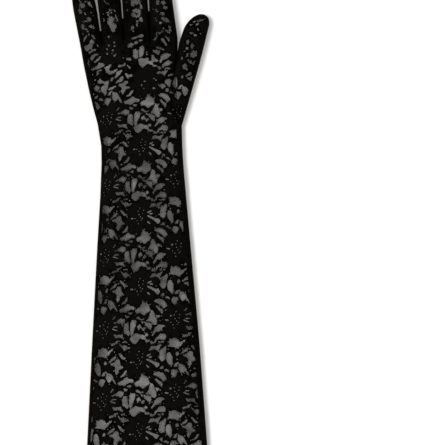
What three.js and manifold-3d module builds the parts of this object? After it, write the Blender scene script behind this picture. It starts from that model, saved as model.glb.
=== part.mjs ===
// A long lace glove for the left hand, lying empty with its palm down.
// Millimetres, +Z up. X runs towards the thumb and Y from the hem to the fingertips.
// Back, palm, thumb, the strips between the fingers, the side seams and the hem are separate sewn pieces.

import * as THREE from 'three';
import { mergeVertices } from 'three/addons/utils/BufferGeometryUtils.js';
import Module from 'manifold-3d';

const wasm = await Module();
wasm.setup();

// Cloth and seams
const WALL = 1.0;
const SEAM_GAP = 0.3;
const SEAM_HEIGHT = 4.4;
const SEAM_LEVEL = 4.8;
const SEAM_END = 9;
const HEM_WIDTH = 10;
const HEM_EXTRA = 0.4;

// Cross-section: a flat underside with rounded corners, and a dome whose roundness is the exponent
const CORNER = 6;
const DOME = 2.6;
const DOME_STEPS = 12;
const CORNER_STEPS = 2;
const TIP_TURNS = [30, 54, 75];
const BEYOND_HEM = 12;

// Reach of the blocks that cut the pieces apart, well past the glove on every side
const FAR = 200;
const PAST_TIPS = 600;
const HIGH = 30;

// Arm and hand: edges and top height at each distance from the hem
const ARM = {
  rows: [
    { y: 0, left: -55.6, right: 58.3, top: 13.6 },
    { y: 56, left: -52.8, right: 54.3, top: 13.4 },
    { y: 149, left: -48.2, right: 47.3, top: 13.0 },
    { y: 236, left: -43.6, right: 39.3, top: 12.6 },
    { y: 279, left: -41.0, right: 35.4, top: 12.4 },
    { y: 308, left: -39.9, right: 32.9, top: 12.2 },
    { y: 324, left: -40.2, right: 32.0, top: 12.2 },
    { y: 344, left: -43.5, right: 31.5, top: 12.4 },
    { y: 358, left: -47.4, right: 29.7, top: 12.6 },
    { y: 374, left: -51.2, right: 27.9, top: 12.8 },
    { y: 392, left: -55.0, right: 27.2, top: 12.8 },
    { y: 399, left: -56.2, right: 27.4, top: 12.6 },
  ],
  tip: { x: -12, y: 420 },
};

// Fingers: each starts low inside the hand and rises out of it
const FINGERS = {
  little: {
    rows: [
      { y: 372, left: -50.4, right: -36.0, top: 7.5 },
      { y: 396, left: -55.8, right: -37.6, top: 10.8 },
      { y: 412, left: -58.5, right: -40.0, top: 11.4 },
      { y: 445, left: -65.0, right: -45.7, top: 11.2 },
      { y: 461, left: -67.2, right: -48.9, top: 11.0 },
    ],
    tip: { x: -59.6, y: 471 },
  },
  ring: {
    rows: [
      { y: 376, left: -37.5, right: -21.5, top: 7.5 },
      { y: 400, left: -38.2, right: -18.6, top: 11.2 },
      { y: 416, left: -39.5, right: -20.0, top: 11.8 },
      { y: 455, left: -45.4, right: -23.0, top: 11.6 },
      { y: 477, left: -48.4, right: -27.6, top: 11.2 },
    ],
    tip: { x: -39.9, y: 490 },
  },
  middle: {
    rows: [
      { y: 378, left: -17.5, right: -0.5, top: 7.5 },
      { y: 402, left: -19.6, right: 3.8, top: 11.4 },
      { y: 420, left: -19.2, right: 3.2, top: 12.0 },
      { y: 455, left: -21.6, right: 0.9, top: 11.8 },
      { y: 487, left: -25.2, right: -4.2, top: 11.2 },
    ],
    tip: { x: -16.2, y: 500 },
  },
  index: {
    rows: [
      { y: 376, left: 6.0, right: 23.5, top: 7.5 },
      { y: 402, left: 3.0, right: 27.6, top: 11.2 },
      { y: 420, left: 3.9, right: 27.8, top: 11.8 },
      { y: 455, left: 2.3, right: 23.0, top: 11.6 },
      { y: 477, left: 0.2, right: 20.2, top: 11.2 },
    ],
    tip: { x: 9.0, y: 490 },
  },
};

// Thumb: a tube that leaves the side of the hand
const THUMB = {
  rows: [
    { y: 332, left: 9.0, right: 28.0, top: 8.0 },
    { y: 344, left: 11.7, right: 32.2, top: 10.0 },
    { y: 365, left: 17.1, right: 38.2, top: 11.6 },
    { y: 401, left: 27.0, right: 48.4, top: 12.2 },
    { y: 417, left: 29.9, right: 52.4, top: 12.0 },
    { y: 428, left: 33.6, right: 55.0, top: 11.6 },
  ],
  tip: { x: 49.6, y: 442 },
};
const THUMB_CROTCH_Y = 414;
const THUMB_BASE_Y = 341;

// The lace repeats a flower up the arm in columns, each half a repeat above the one beside it
const REPEAT = 62.5;
const COLUMNS = [
  { x: -35.0, y: 36.5 },
  { x: -4.5, y: 9.5 },
  { x: 27.0, y: 40.5 },
];
const ROWS_OF_FLOWERS = 7;
const GAP_MARGIN = 2.6;

// The larger gaps round one flower, from its centre: length, width and turn of each pointed oval
const FLOWER_GAPS = [
  { name: 'crown', x: -2.4, y: 18.6, long: 10.5, wide: 7.0, turn: 20 },
  { name: 'cup', x: 2.4, y: -17.6, long: 11.0, wide: 9.6, turn: 84 },
  { name: 'upright_left', x: -11.6, y: 27.4, long: 11.4, wide: 5.4, turn: 96 },
  { name: 'upright_right', x: -4.6, y: 29.4, long: 12.0, wide: 5.4, turn: 84 },
  { name: 'star', x: -18.6, y: -7.6, long: 9.6, wide: 6.6, turn: 124 },
  { name: 'long_leaf', x: -11.4, y: -19.8, long: 12.6, wide: 4.8, turn: 24 },
  { name: 'side_star', x: 11.6, y: -25.4, long: 10.6, wide: 6.0, turn: 106 },
];

// Smaller gaps along each finger and the thumb, as shares of its length and half width
const FINGER_GAPS = {
  little: { from: 0.44, to: 0.86, count: 4, long: 8.0, wide: 5.0 },
  ring: { from: 0.42, to: 0.88, count: 5, long: 9.0, wide: 5.2 },
  middle: { from: 0.42, to: 0.88, count: 5, long: 9.0, wide: 5.2 },
  index: { from: 0.42, to: 0.88, count: 5, long: 9.0, wide: 5.2 },
  thumb: { from: 0.46, to: 0.86, count: 4, long: 8.0, wide: 5.0 },
};
const FINGER_GAP_SWAY = 0.22;

// Colours and finishes
const BLACK_LACE = { color: 0x151416, roughness: 0.78, metalness: 0 };
const BLACK_NET = { color: 0x1c1b1d, roughness: 0.85, metalness: 0 };
const BLACK_KNIT = { color: 0x121113, roughness: 0.82, metalness: 0 };

// A signed power, which turns a circle into a rounder or squarer oval
function roundedPower(value) {
  return Math.sign(value) * Math.abs(value) ** (2 / DOME);
}

// One closed ring of points at distance y, drawn in by inset; shrink rounds off the closed end of a tube
function ring({ y, left, right, top }, inset, shrink = 1, centre = (left + right) / 2) {
  const half = ((right - left) / 2 - inset) * shrink;
  const rise = (top - inset - SEAM_LEVEL) * shrink;
  const drop = (SEAM_LEVEL - Math.max(inset, 0)) * shrink;
  const corner = Math.min(CORNER, half * 0.8) * shrink;
  const points = [];
  for (let i = 0; i <= DOME_STEPS; i += 1) {
    const angle = (Math.PI * i) / DOME_STEPS;
    const x = centre + half * roundedPower(Math.cos(angle));
    points.push([x, y, SEAM_LEVEL + rise * roundedPower(Math.sin(angle))]);
  }
  for (const side of [-1, 1]) {
    for (let i = 1; i <= CORNER_STEPS; i += 1) {
      const step = side < 0 ? i : CORNER_STEPS + 1 - i;
      const angle = (Math.PI / 2) * (step / CORNER_STEPS);
      const x = centre + side * (half - corner * (1 - Math.cos(angle)));
      points.push([x, y, SEAM_LEVEL - drop * Math.sin(angle)]);
    }
  }
  return points;
}

// Joins rings of equal length into a closed skin, with a fan at the first ring and one to the apex
function loft(rings, apex) {
  const count = rings[0].length;
  const first = rings[0];
  const middle = [0, 1, 2].map((axis) => first.reduce((sum, point) => sum + point[axis], 0) / count);
  const positions = [...rings.flat(), middle, apex].flat();
  const startIndex = rings.length * count;
  const apexIndex = startIndex + 1;
  const lastRing = (rings.length - 1) * count;
  const triangles = [];
  for (let i = 0; i < count; i += 1) {
    const next = (i + 1) % count;
    triangles.push(startIndex, i, next);
    triangles.push(apexIndex, lastRing + next, lastRing + i);
    for (let r = 0; r < rings.length - 1; r += 1) {
      const low = r * count;
      const high = low + count;
      triangles.push(low + i, high + i, high + next);
      triangles.push(low + i, high + next, low + next);
    }
  }
  const geometry = new THREE.BufferGeometry();
  geometry.setAttribute('position', new THREE.Float32BufferAttribute(positions, 3));
  geometry.setIndex(triangles);
  return geometry;
}

// A tube through its rows, closed by a rounded tip; inset gives the hollow inside it
function tube({ rows, tip }, inset = 0) {
  const last = rows[rows.length - 1];
  const length = tip.y - last.y - inset;
  const centre = (last.left + last.right) / 2;
  const rings = rows.map((row) => ring(row, inset));
  for (const degrees of TIP_TURNS) {
    const turn = THREE.MathUtils.degToRad(degrees);
    const reach = Math.sin(turn);
    const x = centre + (tip.x - centre) * reach;
    rings.push(ring({ ...last, y: last.y + length * reach }, inset, Math.cos(turn), x));
  }
  return loft(rings, [tip.x, last.y + length, SEAM_LEVEL]);
}

// Turns a closed geometry into a solid that can be joined and cut
function asSolid(geometry) {
  const bare = geometry.clone();
  bare.deleteAttribute('normal');
  bare.deleteAttribute('uv');
  const merged = mergeVertices(bare, 1e-4);
  const vertProperties = Float32Array.from(merged.attributes.position.array);
  const triVerts = Uint32Array.from(merged.index.array);
  return new wasm.Manifold(new wasm.Mesh({ numProp: 3, vertProperties, triVerts }));
}

// Turns a solid back into a named mesh with its own material
function asMesh(name, solid, finish) {
  const { vertProperties, triVerts } = solid.getMesh();
  const geometry = new THREE.BufferGeometry();
  geometry.setAttribute('position', new THREE.Float32BufferAttribute(vertProperties, 3));
  geometry.setIndex([...triVerts]);
  geometry.computeVertexNormals();
  const mesh = new THREE.Mesh(geometry, new THREE.MeshStandardMaterial(finish));
  mesh.name = name;
  return mesh;
}

// An upright prism over a plan outline, from one height to another
function prism(outline, low, high) {
  const shape = new THREE.Shape(outline.map(([x, y]) => new THREE.Vector2(x, y)));
  const geometry = new THREE.ExtrudeGeometry(shape, { depth: high - low, bevelEnabled: false });
  geometry.translate(0, 0, low);
  return asSolid(geometry);
}

// A block as wide as any piece, between two distances from the hem and two heights
function slab(near, far, low, high) {
  return prism([[-FAR, near], [FAR, near], [FAR, far], [-FAR, far]], low, high);
}

// The section of a tube at distance y, between the two rows beside it, or its end row beyond them
function sectionAt({ rows }, y) {
  const passed = rows.filter((row) => row.y < y).length;
  const above = THREE.MathUtils.clamp(passed, 1, rows.length - 1);
  const low = rows[above - 1];
  const high = rows[above];
  const share = THREE.MathUtils.clamp((y - low.y) / (high.y - low.y), 0, 1);
  const between = (column) => THREE.MathUtils.lerp(low[column], high[column], share);
  return { y, left: between('left'), right: between('right'), top: between('top') };
}

// The middle line of a tube, as [x, y] at distance y
function axisPoint(form, y) {
  const last = form.rows[form.rows.length - 1];
  if (y <= last.y) {
    const section = sectionAt(form, y);
    return [(section.left + section.right) / 2, y];
  }
  const share = (y - last.y) / (form.tip.y - last.y);
  return [THREE.MathUtils.lerp((last.left + last.right) / 2, form.tip.x, share), y];
}

// Joins the solids in a list
function joined(solids) {
  return solids.reduce((whole, solid) => whole.add(solid));
}

const { little, ring: ringFinger, middle, index } = FINGERS;
const HAND_FORMS = [ARM, little, ringFinger, middle, index];
const INSIDE_HAND_Y = 388;

// Arm, hand and fingers as one skin; the hollow runs out past the hem
function handSkin(inset) {
  return joined(HAND_FORMS.map((form) => asSolid(tube(form, inset))));
}

function handHollow() {
  const mouth = { ...ARM.rows[0], y: -BEYOND_HEM };
  const arm = { rows: [mouth, ...ARM.rows], tip: ARM.tip };
  const forms = [arm, little, ringFinger, middle, index];
  return joined(forms.map((form) => asSolid(tube(form, WALL))));
}

// Plan outline between the middle lines of two neighbouring fingers, up to near their tips
function betweenFingers(left, right, pad) {
  const leftTop = left.tip.y - SEAM_END + pad;
  const rightTop = right.tip.y - SEAM_END + pad;
  const apart = Math.min(leftTop, rightTop);
  const gap = (sectionAt(left, apart).right + sectionAt(right, apart).left) / 2;
  const levels = [INSIDE_HAND_Y, 420, 455];
  const up = [...levels, rightTop].map((y) => axisPoint(right, y));
  const down = [leftTop, ...levels.reverse()].map((y) => axisPoint(left, y));
  return [...up, [gap, rightTop], [gap, leftTop], ...down];
}

// Plan outlines of the two side seams and the thumb side of the index finger
function outsideLittle(pad) {
  const top = little.tip.y - SEAM_END + pad;
  const low = HEM_WIDTH + SEAM_GAP - pad;
  const inner = [420, 455].map((y) => axisPoint(little, y));
  return [[-FAR, low], [-5, low], [-25, 360], [-46, 392], ...inner, axisPoint(little, top), [-FAR, top]];
}

function insideArm(pad) {
  const low = HEM_WIDTH + SEAM_GAP - pad;
  const top = THUMB_BASE_Y + pad;
  return [[-4, low], [FAR, low], [FAR, top], [-4, top]];
}

function outsideIndex(pad) {
  const low = THUMB_CROTCH_Y + 2 - pad;
  const top = index.tip.y - SEAM_END + pad;
  const inner = [top, 455, low].map((y) => axisPoint(index, y));
  return [[FAR, low], [FAR, top], ...inner];
}

const SEAM_OUTLINES = {
  fourchette_index_middle: (pad) => betweenFingers(middle, index, pad),
  fourchette_middle_ring: (pad) => betweenFingers(ringFinger, middle, pad),
  fourchette_ring_little: (pad) => betweenFingers(little, ringFinger, pad),
  index_side_seam: outsideIndex,
  outer_side_seam: outsideLittle,
  inner_side_seam: insideArm,
};

// A pointed oval with its length along the turn, from its centre
function pointedOval(x, y, long, wide, turn) {
  const reach = [[0.5, 0], [0.28, 0.36], [-0.12, 0.5], [-0.5, 0.06], [-0.3, -0.42], [0.16, -0.5]];
  const angle = THREE.MathUtils.degToRad(turn);
  const along = new THREE.Vector2(Math.cos(angle), Math.sin(angle));
  const across = new THREE.Vector2(-along.y, along.x);
  return reach.map(([u, v]) => [
    x + along.x * u * long + across.x * v * wide,
    y + along.y * u * long + across.y * v * wide,
  ]);
}

// Whether a plan outline keeps its margin from the edges of the arm and hand
function fitsArm(outline) {
  const lowest = HEM_WIDTH + GAP_MARGIN;
  const highest = ARM.rows[ARM.rows.length - 1].y;
  return outline.every(([x, y]) => {
    const section = sectionAt(ARM, y);
    const inside = x > section.left + GAP_MARGIN && x < section.right - GAP_MARGIN;
    return inside && y > lowest && y < highest;
  });
}

// Whether a plan outline keeps clear of the base of the thumb
function clearOfThumb(outline) {
  return outline.every(([x, y]) => {
    const section = sectionAt(THUMB, y);
    return y < THUMB.rows[0].y || x < section.left - GAP_MARGIN / 2;
  });
}

// The gaps of the arm and hand, flower by flower, left out where they would meet an edge or the thumb
function armGaps() {
  const gaps = [];
  for (const column of COLUMNS) {
    for (let row = 0; row < ROWS_OF_FLOWERS; row += 1) {
      for (const gap of FLOWER_GAPS) {
        const y = column.y + row * REPEAT + gap.y;
        const outline = pointedOval(column.x + gap.x, y, gap.long, gap.wide, gap.turn);
        if (fitsArm(outline) && clearOfThumb(outline)) gaps.push(outline);
      }
    }
  }
  return gaps;
}

// A row of gaps along one finger, swaying from side to side of its middle line
function rowOfGaps(form, { from, to, count, long, wide }) {
  const start = form.rows[0].y;
  const gaps = [];
  for (let i = 0; i < count; i += 1) {
    const share = THREE.MathUtils.lerp(from, to, i / (count - 1));
    const y = THREE.MathUtils.lerp(start, form.tip.y, share);
    const section = sectionAt(form, Math.min(y, form.rows[form.rows.length - 1].y));
    const sway = (i % 2 ? 1 : -1) * FINGER_GAP_SWAY * ((section.right - section.left) / 2);
    gaps.push(pointedOval(axisPoint(form, y)[0] + sway, y, long, wide, 90 + sway * 4));
  }
  return gaps;
}

// Cuts a list of upright gaps through the upper cloth of a piece
function pierced(solid, outlines) {
  const cutters = outlines.map((outline) => prism(outline, SEAM_LEVEL + 1, HIGH));
  return solid.subtract(joined(cutters));
}

const skin = handSkin(0);
const hollow = handHollow();
const thumbHollow = asSolid(tube(THUMB, WALL));
const shell = skin.subtract(hollow).subtract(slab(-FAR, HEM_WIDTH + SEAM_GAP, -HIGH, HIGH));
const handShell = shell.subtract(thumbHollow);

const seamLow = SEAM_LEVEL - SEAM_HEIGHT / 2;
const seamHigh = SEAM_LEVEL + SEAM_HEIGHT / 2;
const seamOutlines = Object.values(SEAM_OUTLINES).map((outline) => outline(SEAM_GAP));
const seamRoom = joined(
  seamOutlines.map((outline) => prism(outline, seamLow - SEAM_GAP, seamHigh + SEAM_GAP)),
);

function backPanel() {
  const half = slab(-FAR, PAST_TIPS, SEAM_LEVEL + SEAM_GAP / 2, HIGH);
  const upper = handShell.intersect(half).subtract(seamRoom);
  const fingerGaps = Object.entries(FINGERS).flatMap(([name, form]) => rowOfGaps(form, FINGER_GAPS[name]));
  return pierced(upper, [...armGaps(), ...fingerGaps]);
}

function palmPanel() {
  const half = slab(-FAR, PAST_TIPS, -HIGH, SEAM_LEVEL - SEAM_GAP / 2);
  return handShell.intersect(half).subtract(seamRoom);
}

function thumbPiece() {
  const room = handSkin(-SEAM_GAP);
  const sleeve = asSolid(tube(THUMB)).subtract(thumbHollow).subtract(room);
  return pierced(sleeve, rowOfGaps(THUMB, FINGER_GAPS.thumb));
}

function seamStrip(name) {
  return handShell.intersect(prism(SEAM_OUTLINES[name](0), seamLow, seamHigh));
}

// The hem is a band of doubled cloth, a little thicker than the arm all round
function hemBand() {
  const outer = { rows: ARM.rows.slice(0, 2), tip: ARM.tip };
  const mouth = { ...ARM.rows[0], y: -BEYOND_HEM };
  const inner = { rows: [mouth, ...ARM.rows.slice(0, 2)], tip: ARM.tip };
  const band = asSolid(tube(outer, -HEM_EXTRA)).subtract(asSolid(tube(inner, WALL + HEM_EXTRA)));
  return band.intersect(slab(-FAR, HEM_WIDTH, -HIGH, HIGH));
}

const glove = new THREE.Group();
glove.add(asMesh('back_panel', backPanel(), BLACK_LACE));
glove.add(asMesh('palm_panel', palmPanel(), BLACK_NET));
glove.add(asMesh('thumb', thumbPiece(), BLACK_LACE));
for (const name of Object.keys(SEAM_OUTLINES)) {
  glove.add(asMesh(name, seamStrip(name), BLACK_KNIT));
}
glove.add(asMesh('hem_band', hemBand(), BLACK_KNIT));

// The origin is the middle of the glove's box, on the surface it lies on
const box = new THREE.Box3().setFromObject(glove);
glove.position.set(-(box.min.x + box.max.x) / 2, -(box.min.y + box.max.y) / 2, -box.min.z);

export default glove;
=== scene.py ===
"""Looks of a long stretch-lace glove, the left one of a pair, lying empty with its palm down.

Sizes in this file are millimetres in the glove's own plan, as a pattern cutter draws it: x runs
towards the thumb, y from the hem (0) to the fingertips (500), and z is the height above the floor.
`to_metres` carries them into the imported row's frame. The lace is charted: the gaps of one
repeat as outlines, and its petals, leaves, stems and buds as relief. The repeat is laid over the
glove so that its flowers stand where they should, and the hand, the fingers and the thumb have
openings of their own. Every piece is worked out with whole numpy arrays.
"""
import logging
import math
from dataclasses import dataclass
from enum import Enum
from typing import Callable, NamedTuple

import bpy
import numpy as np
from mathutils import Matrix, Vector
from mathutils.geometry import delaunay_2d_cdt


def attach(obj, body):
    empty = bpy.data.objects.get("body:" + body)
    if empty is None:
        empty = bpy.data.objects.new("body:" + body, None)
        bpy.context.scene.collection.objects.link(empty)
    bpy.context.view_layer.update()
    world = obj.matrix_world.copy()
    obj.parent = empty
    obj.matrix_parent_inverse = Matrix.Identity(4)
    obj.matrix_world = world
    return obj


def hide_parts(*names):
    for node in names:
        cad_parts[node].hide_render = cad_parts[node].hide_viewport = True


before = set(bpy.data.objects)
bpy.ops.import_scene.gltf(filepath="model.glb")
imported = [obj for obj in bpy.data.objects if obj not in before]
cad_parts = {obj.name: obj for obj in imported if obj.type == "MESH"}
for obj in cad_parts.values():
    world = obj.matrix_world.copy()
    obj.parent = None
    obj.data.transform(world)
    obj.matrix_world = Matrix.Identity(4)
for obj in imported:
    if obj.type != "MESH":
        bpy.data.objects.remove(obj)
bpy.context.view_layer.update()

LOG = logging.getLogger("lace_glove")
Array = np.ndarray
Corner = tuple[float, float]
Box = tuple[Corner, Corner]
Field = Callable[[Array, Array], Array]
Solid = tuple[Array, Array]

MM = 0.001
PLAN_TO_ROW = np.array([4.25, -249.98, 0.0])
GLOVE_BOX: Box = ((-72.0, -1.0), (62.0, 502.0))
THUMB_BOX: Box = ((4.0, 326.0), (60.0, 444.0))
SEAM_LEVEL = 4.8  # height of the seams above the floor
DOME = 2.6  # power of the rounded upper cloth
CORNER = 6.0  # greatest radius of the lower corners
CORNER_SHARE = 0.8  # the same on slim fingers, as a share of half their width
CLOSED_END = 0.9995  # share of a rounded tip at which it counts as closed
SLIMMEST = 1e-3  # half width where a tube doesn't exist
SLIM_TUBE = 0.1  # least half width that a strip or a stitch reckons with
STEEPEST = 4.0  # greatest slope of the cloth that a piece follows
NOWHERE = 40.0  # height and distance that stand for no tube at all
FAR_OUT = -6.0  # signed distance that stands for no opening near
TINY = 1e-9  # keeps a division or a logarithm from nothing


def to_metres(points: Array) -> Array:
    """Moves plan points into the row's frame.

    Args:
        points: Points in millimetres, the last axis being x, y, z.

    Returns:
        The same points in metres, shifted so that the glove's box is centred on the origin.
    """
    return (points + PLAN_TO_ROW) * MM


class Row(NamedTuple):
    """One section of a tube: its distance from the hem, its two edges and its top height."""

    y: float
    left: float
    right: float
    top: float


class Sections(NamedTuple):
    """A tube's sections at many distances from the hem.

    They are the middle line, half the width, the rise, the shrink at the tip, and where it exists.
    """

    centre: Array
    half: Array
    rise: Array
    shrink: Array
    present: Array


@dataclass(frozen=True)
class Tube:
    """One tapered part of the glove, from its first row to a rounded tip."""

    rows: tuple[Row, ...]
    tip_x: float
    tip_y: float

    def sections(self, y: Array) -> Sections:
        """Reads the sections at given distances from the hem.

        Between rows the edges and the top run straight. Past the last row the width and the rise
        shrink as a quarter ellipse down to the tip, and the middle line leans to the tip's x.

        Args:
            y: Distances from the hem.

        Returns:
            The sections, with a half width of next to nothing where the tube doesn't exist.
        """
        table = np.array(self.rows)
        last = table[-1]
        left, right, top = (np.interp(y, table[:, 0], table[:, k]) for k in (1, 2, 3))
        reach = np.clip((y - last[0]) / (self.tip_y - last[0]), 0.0, 1.0)
        shrink = np.sqrt(1.0 - np.minimum(reach, CLOSED_END) ** 2)
        centre = (left + right) / 2 + reach * (self.tip_x - (last[1] + last[2]) / 2)
        present = (y >= table[0, 0]) & (y <= self.tip_y)
        half = np.where(present, (right - left) / 2 * shrink, SLIMMEST)
        return Sections(centre, half, (top - SEAM_LEVEL) * shrink, shrink, present)

    @staticmethod
    def corner(at: Sections) -> Array:
        """Radius of the rounded lower corners."""
        return np.minimum(CORNER, at.half * CORNER_SHARE) * at.shrink

    def side_distance(self, x: Array, y: Array) -> Array:
        """Distance in from the nearer edge, in millimetres, and negative outside the tube."""
        at = self.sections(y)
        return np.where(at.present, at.half - np.abs(x - at.centre), -NOWHERE)

    def upper(self, x: Array, y: Array) -> Array:
        """Height of the upper cloth: the seam level plus the rise times the dome (1 - t^2.6)^(1/2.6).

        Past the edge the height falls at twice the distance, so that slopes there stay steep.

        Args:
            x: Plan x.
            y: Plan y.

        Returns:
            Heights above the floor.
        """
        at = self.sections(y)
        share = np.abs(x - at.centre) / at.half
        dome = (1.0 - np.minimum(share, 1.0) ** DOME) ** (1.0 / DOME)
        beyond = np.maximum(share - 1.0, 0.0) * at.half
        return np.where(at.present, SEAM_LEVEL + at.rise * dome - 2.0 * beyond, -NOWHERE)

    def lower(self, x: Array, y: Array) -> Array:
        """Height of the lower cloth: flat on the floor, with a quarter-ellipse corner up to the seam.

        Args:
            x: Plan x.
            y: Plan y.

        Returns:
            Heights above the floor.
        """
        at = self.sections(y)
        from_edge = at.half - np.abs(x - at.centre)
        inward = np.clip(from_edge / np.maximum(self.corner(at), SLIMMEST), 0.0, 1.0)
        curve = np.sqrt(np.clip(1.0 - (1.0 - inward) ** 2, 0.0, 1.0))
        return np.where(at.present, SEAM_LEVEL * (1.0 - at.shrink * curve), NOWHERE)

    def skin_point(self, y: Array, side: float, turn: Array, out: Array) -> Array:
        """A point on the tube's skin near one edge.

        The turn is 0 at the edge, grows to 90 degrees at the crown and falls to -90 at the floor.
        Above the edge the skin follows the rounded dome, below it the quarter-ellipse corner.

        Args:
            y: Distance from the hem.
            side: -1 for the left edge, 1 for the right.
            turn: Angle round the section, in degrees.
            out: How far the point stands off the skin.

        Returns:
            Points with a last axis of x, y, z.
        """
        at = self.sections(y)
        angle = np.radians(turn)
        up = angle >= 0
        power = 2.0 / DOME
        cos, sin = np.abs(np.cos(angle)), np.abs(np.sin(angle))
        inward = np.where(up, at.half * (1.0 - cos**power), self.corner(at) * (1.0 - cos))
        height = np.where(up, at.rise * sin**power, -SEAM_LEVEL * at.shrink * sin)
        x = at.centre + side * (at.half - inward + out * cos)
        z = SEAM_LEVEL + height + out * np.sin(angle)
        return np.stack(np.broadcast_arrays(x, y, z), axis=-1)


ARM = Tube(
    rows=(
        Row(0, -55.6, 58.3, 13.6),
        Row(56, -52.8, 54.3, 13.4),
        Row(149, -48.2, 47.3, 13.0),
        Row(236, -43.6, 39.3, 12.6),
        Row(279, -41.0, 35.4, 12.4),
        Row(308, -39.9, 32.9, 12.2),
        Row(324, -40.2, 32.0, 12.2),
        Row(344, -43.5, 31.5, 12.4),
        Row(358, -47.4, 29.7, 12.6),
        Row(374, -51.2, 27.9, 12.8),
        Row(392, -55.0, 27.2, 12.8),
        Row(399, -56.2, 27.4, 12.6),
    ),
    tip_x=-12,
    tip_y=420,
)
LITTLE = Tube(
    rows=(
        Row(372, -50.4, -36.0, 7.5),
        Row(396, -55.8, -37.6, 10.8),
        Row(412, -58.5, -39.6, 11.4),
        Row(445, -65.0, -44.5, 11.2),
        Row(461, -67.2, -47.8, 11.0),
    ),
    tip_x=-59.6,
    tip_y=471,
)
RING = Tube(
    rows=(
        Row(376, -37.5, -21.5, 7.5),
        Row(400, -38.2, -18.6, 11.2),
        Row(416, -38.8, -20.2, 11.8),
        Row(455, -43.6, -23.2, 11.6),
        Row(477, -46.8, -27.8, 11.2),
    ),
    tip_x=-39.9,
    tip_y=490,
)
MIDDLE = Tube(
    rows=(
        Row(378, -17.5, -0.5, 7.5),
        Row(402, -19.6, 3.8, 11.4),
        Row(420, -19.2, 3.2, 12.0),
        Row(455, -21.4, 0.8, 11.8),
        Row(487, -25.2, -4.2, 11.2),
    ),
    tip_x=-16.2,
    tip_y=500,
)
INDEX = Tube(
    rows=(
        Row(376, 6.0, 23.5, 7.5),
        Row(402, 3.0, 27.6, 11.2),
        Row(420, 3.9, 27.8, 11.8),
        Row(455, 2.7, 23.0, 11.6),
        Row(477, 0.2, 20.2, 11.2),
    ),
    tip_x=9.0,
    tip_y=490,
)
THUMB = Tube(
    rows=(
        Row(332, 9.0, 28.0, 8.0),
        Row(344, 11.7, 32.2, 10.0),
        Row(365, 17.1, 38.2, 11.6),
        Row(401, 27.0, 48.4, 12.2),
        Row(417, 29.9, 52.4, 12.0),
        Row(428, 33.6, 55.0, 11.6),
    ),
    tip_x=49.6,
    tip_y=442,
)
HAND = (ARM, LITTLE, RING, MIDDLE, INDEX)


@dataclass(frozen=True)
class Skin:
    """The joined skin of several tubes, as a sheet over the plan."""

    tubes: tuple[Tube, ...]

    def side_distance(self, x: Array, y: Array) -> Array:
        """Distance in from the joined outline, negative outside it."""
        return np.max([tube.side_distance(x, y) for tube in self.tubes], axis=0)

    def upper(self, x: Array, y: Array) -> Array:
        """Height of the joined upper cloth, the highest of the tubes."""
        return np.max([tube.upper(x, y) for tube in self.tubes], axis=0)

    def lower(self, x: Array, y: Array) -> Array:
        """Height of the joined lower cloth, the lowest of the tubes."""
        return np.min([tube.lower(x, y) for tube in self.tubes], axis=0)

    def lift(self, plan: Array, out: Array, side: "Side") -> Array:
        """Lifts plan points onto the upper or lower cloth.

        The slope is read from the heights a twentieth of a millimetre to either side, and the point
        is moved along the cloth's own normal by the stand-off.

        Args:
            plan: Points with a last axis of x, y.
            out: How far each point stands off the cloth, outwards.
            side: Which cloth it lies on.

        Returns:
            Points with a last axis of x, y, z.
        """
        step = 0.05
        height = self.upper if side is Side.BACK else self.lower
        x, y = plan[..., 0], plan[..., 1]
        z = height(x, y)
        slope_x = (height(x + step, y) - height(x - step, y)) / (2 * step)
        slope_y = (height(x, y + step) - height(x, y - step)) / (2 * step)
        slope_x, slope_y = (np.clip(slope, -STEEPEST, STEEPEST) for slope in (slope_x, slope_y))
        normal = np.stack([-slope_x, -slope_y, np.ones_like(z)], axis=-1)
        normal /= np.linalg.norm(normal, axis=-1, keepdims=True)
        if side is Side.PALM:
            normal = -normal
        return np.stack([x, y, z], axis=-1) + normal * np.asarray(out)[..., None]


class Side(Enum):
    """The two cloths of the flat glove."""

    BACK = "back"
    PALM = "palm"


class Petal(NamedTuple):
    """A petal of the flower: its direction in degrees, how far its tip reaches, and half its width."""

    angle: float
    reach: float
    half: float

    def distance(self, x: Array, y: Array) -> Array:
        """Signed distance of an oval at the tip, a little longer than wide, and a straight neck.

        Args:
            x: Distances across from the flower's middle.
            y: Distances along.

        Returns:
            Signed distances, positive inside.
        """
        cos, sin = math.cos(math.radians(self.angle)), math.sin(math.radians(self.angle))
        long = self.half * PETAL_LENGTH
        along, off = x * cos + y * sin, -x * sin + y * cos
        tip = (1 - np.hypot((along - self.reach + long) / long, off / self.half)) * self.half
        on_neck = (along > 0) & (along < self.reach - long)
        neck = np.where(on_neck, self.half * NECK_WIDTH - np.abs(off), FAR_OUT)
        return np.maximum(tip, neck)


class Blade(NamedTuple):
    """A leaf or stem from one point to another, with its full width and its sideways bow.

    A stem keeps its width all along; a leaf's is the sine of half a turn, to the power of its fullness.
    """

    x0: float
    y0: float
    x1: float
    y1: float
    width: float
    bow: float = 0.0
    fullness: float = 0.0

    @property
    def length(self) -> float:
        """Length from base to tip."""
        return math.hypot(self.x1 - self.x0, self.y1 - self.y0)

    def distance(self, x: Array, y: Array) -> Array:
        """Signed distance, with the middle line bowed sideways by 4·bow·s(1-s).

        Args:
            x: Distances across from the base.
            y: Distances along.

        Returns:
            Signed distances, positive inside.
        """
        dx, dy, length = self.x1 - self.x0, self.y1 - self.y0, self.length
        along = (x * dx + y * dy) / length
        share = np.clip(along / length, 0.0, 1.0)
        off = (-x * dy + y * dx) / length - self.bow * 4 * share * (1 - share)
        beyond = np.maximum(np.maximum(-along, along - length), 0.0)
        half = 0.5 * self.width * np.sin(np.pi * share) ** self.fullness
        return half - np.hypot(off, beyond)


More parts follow.
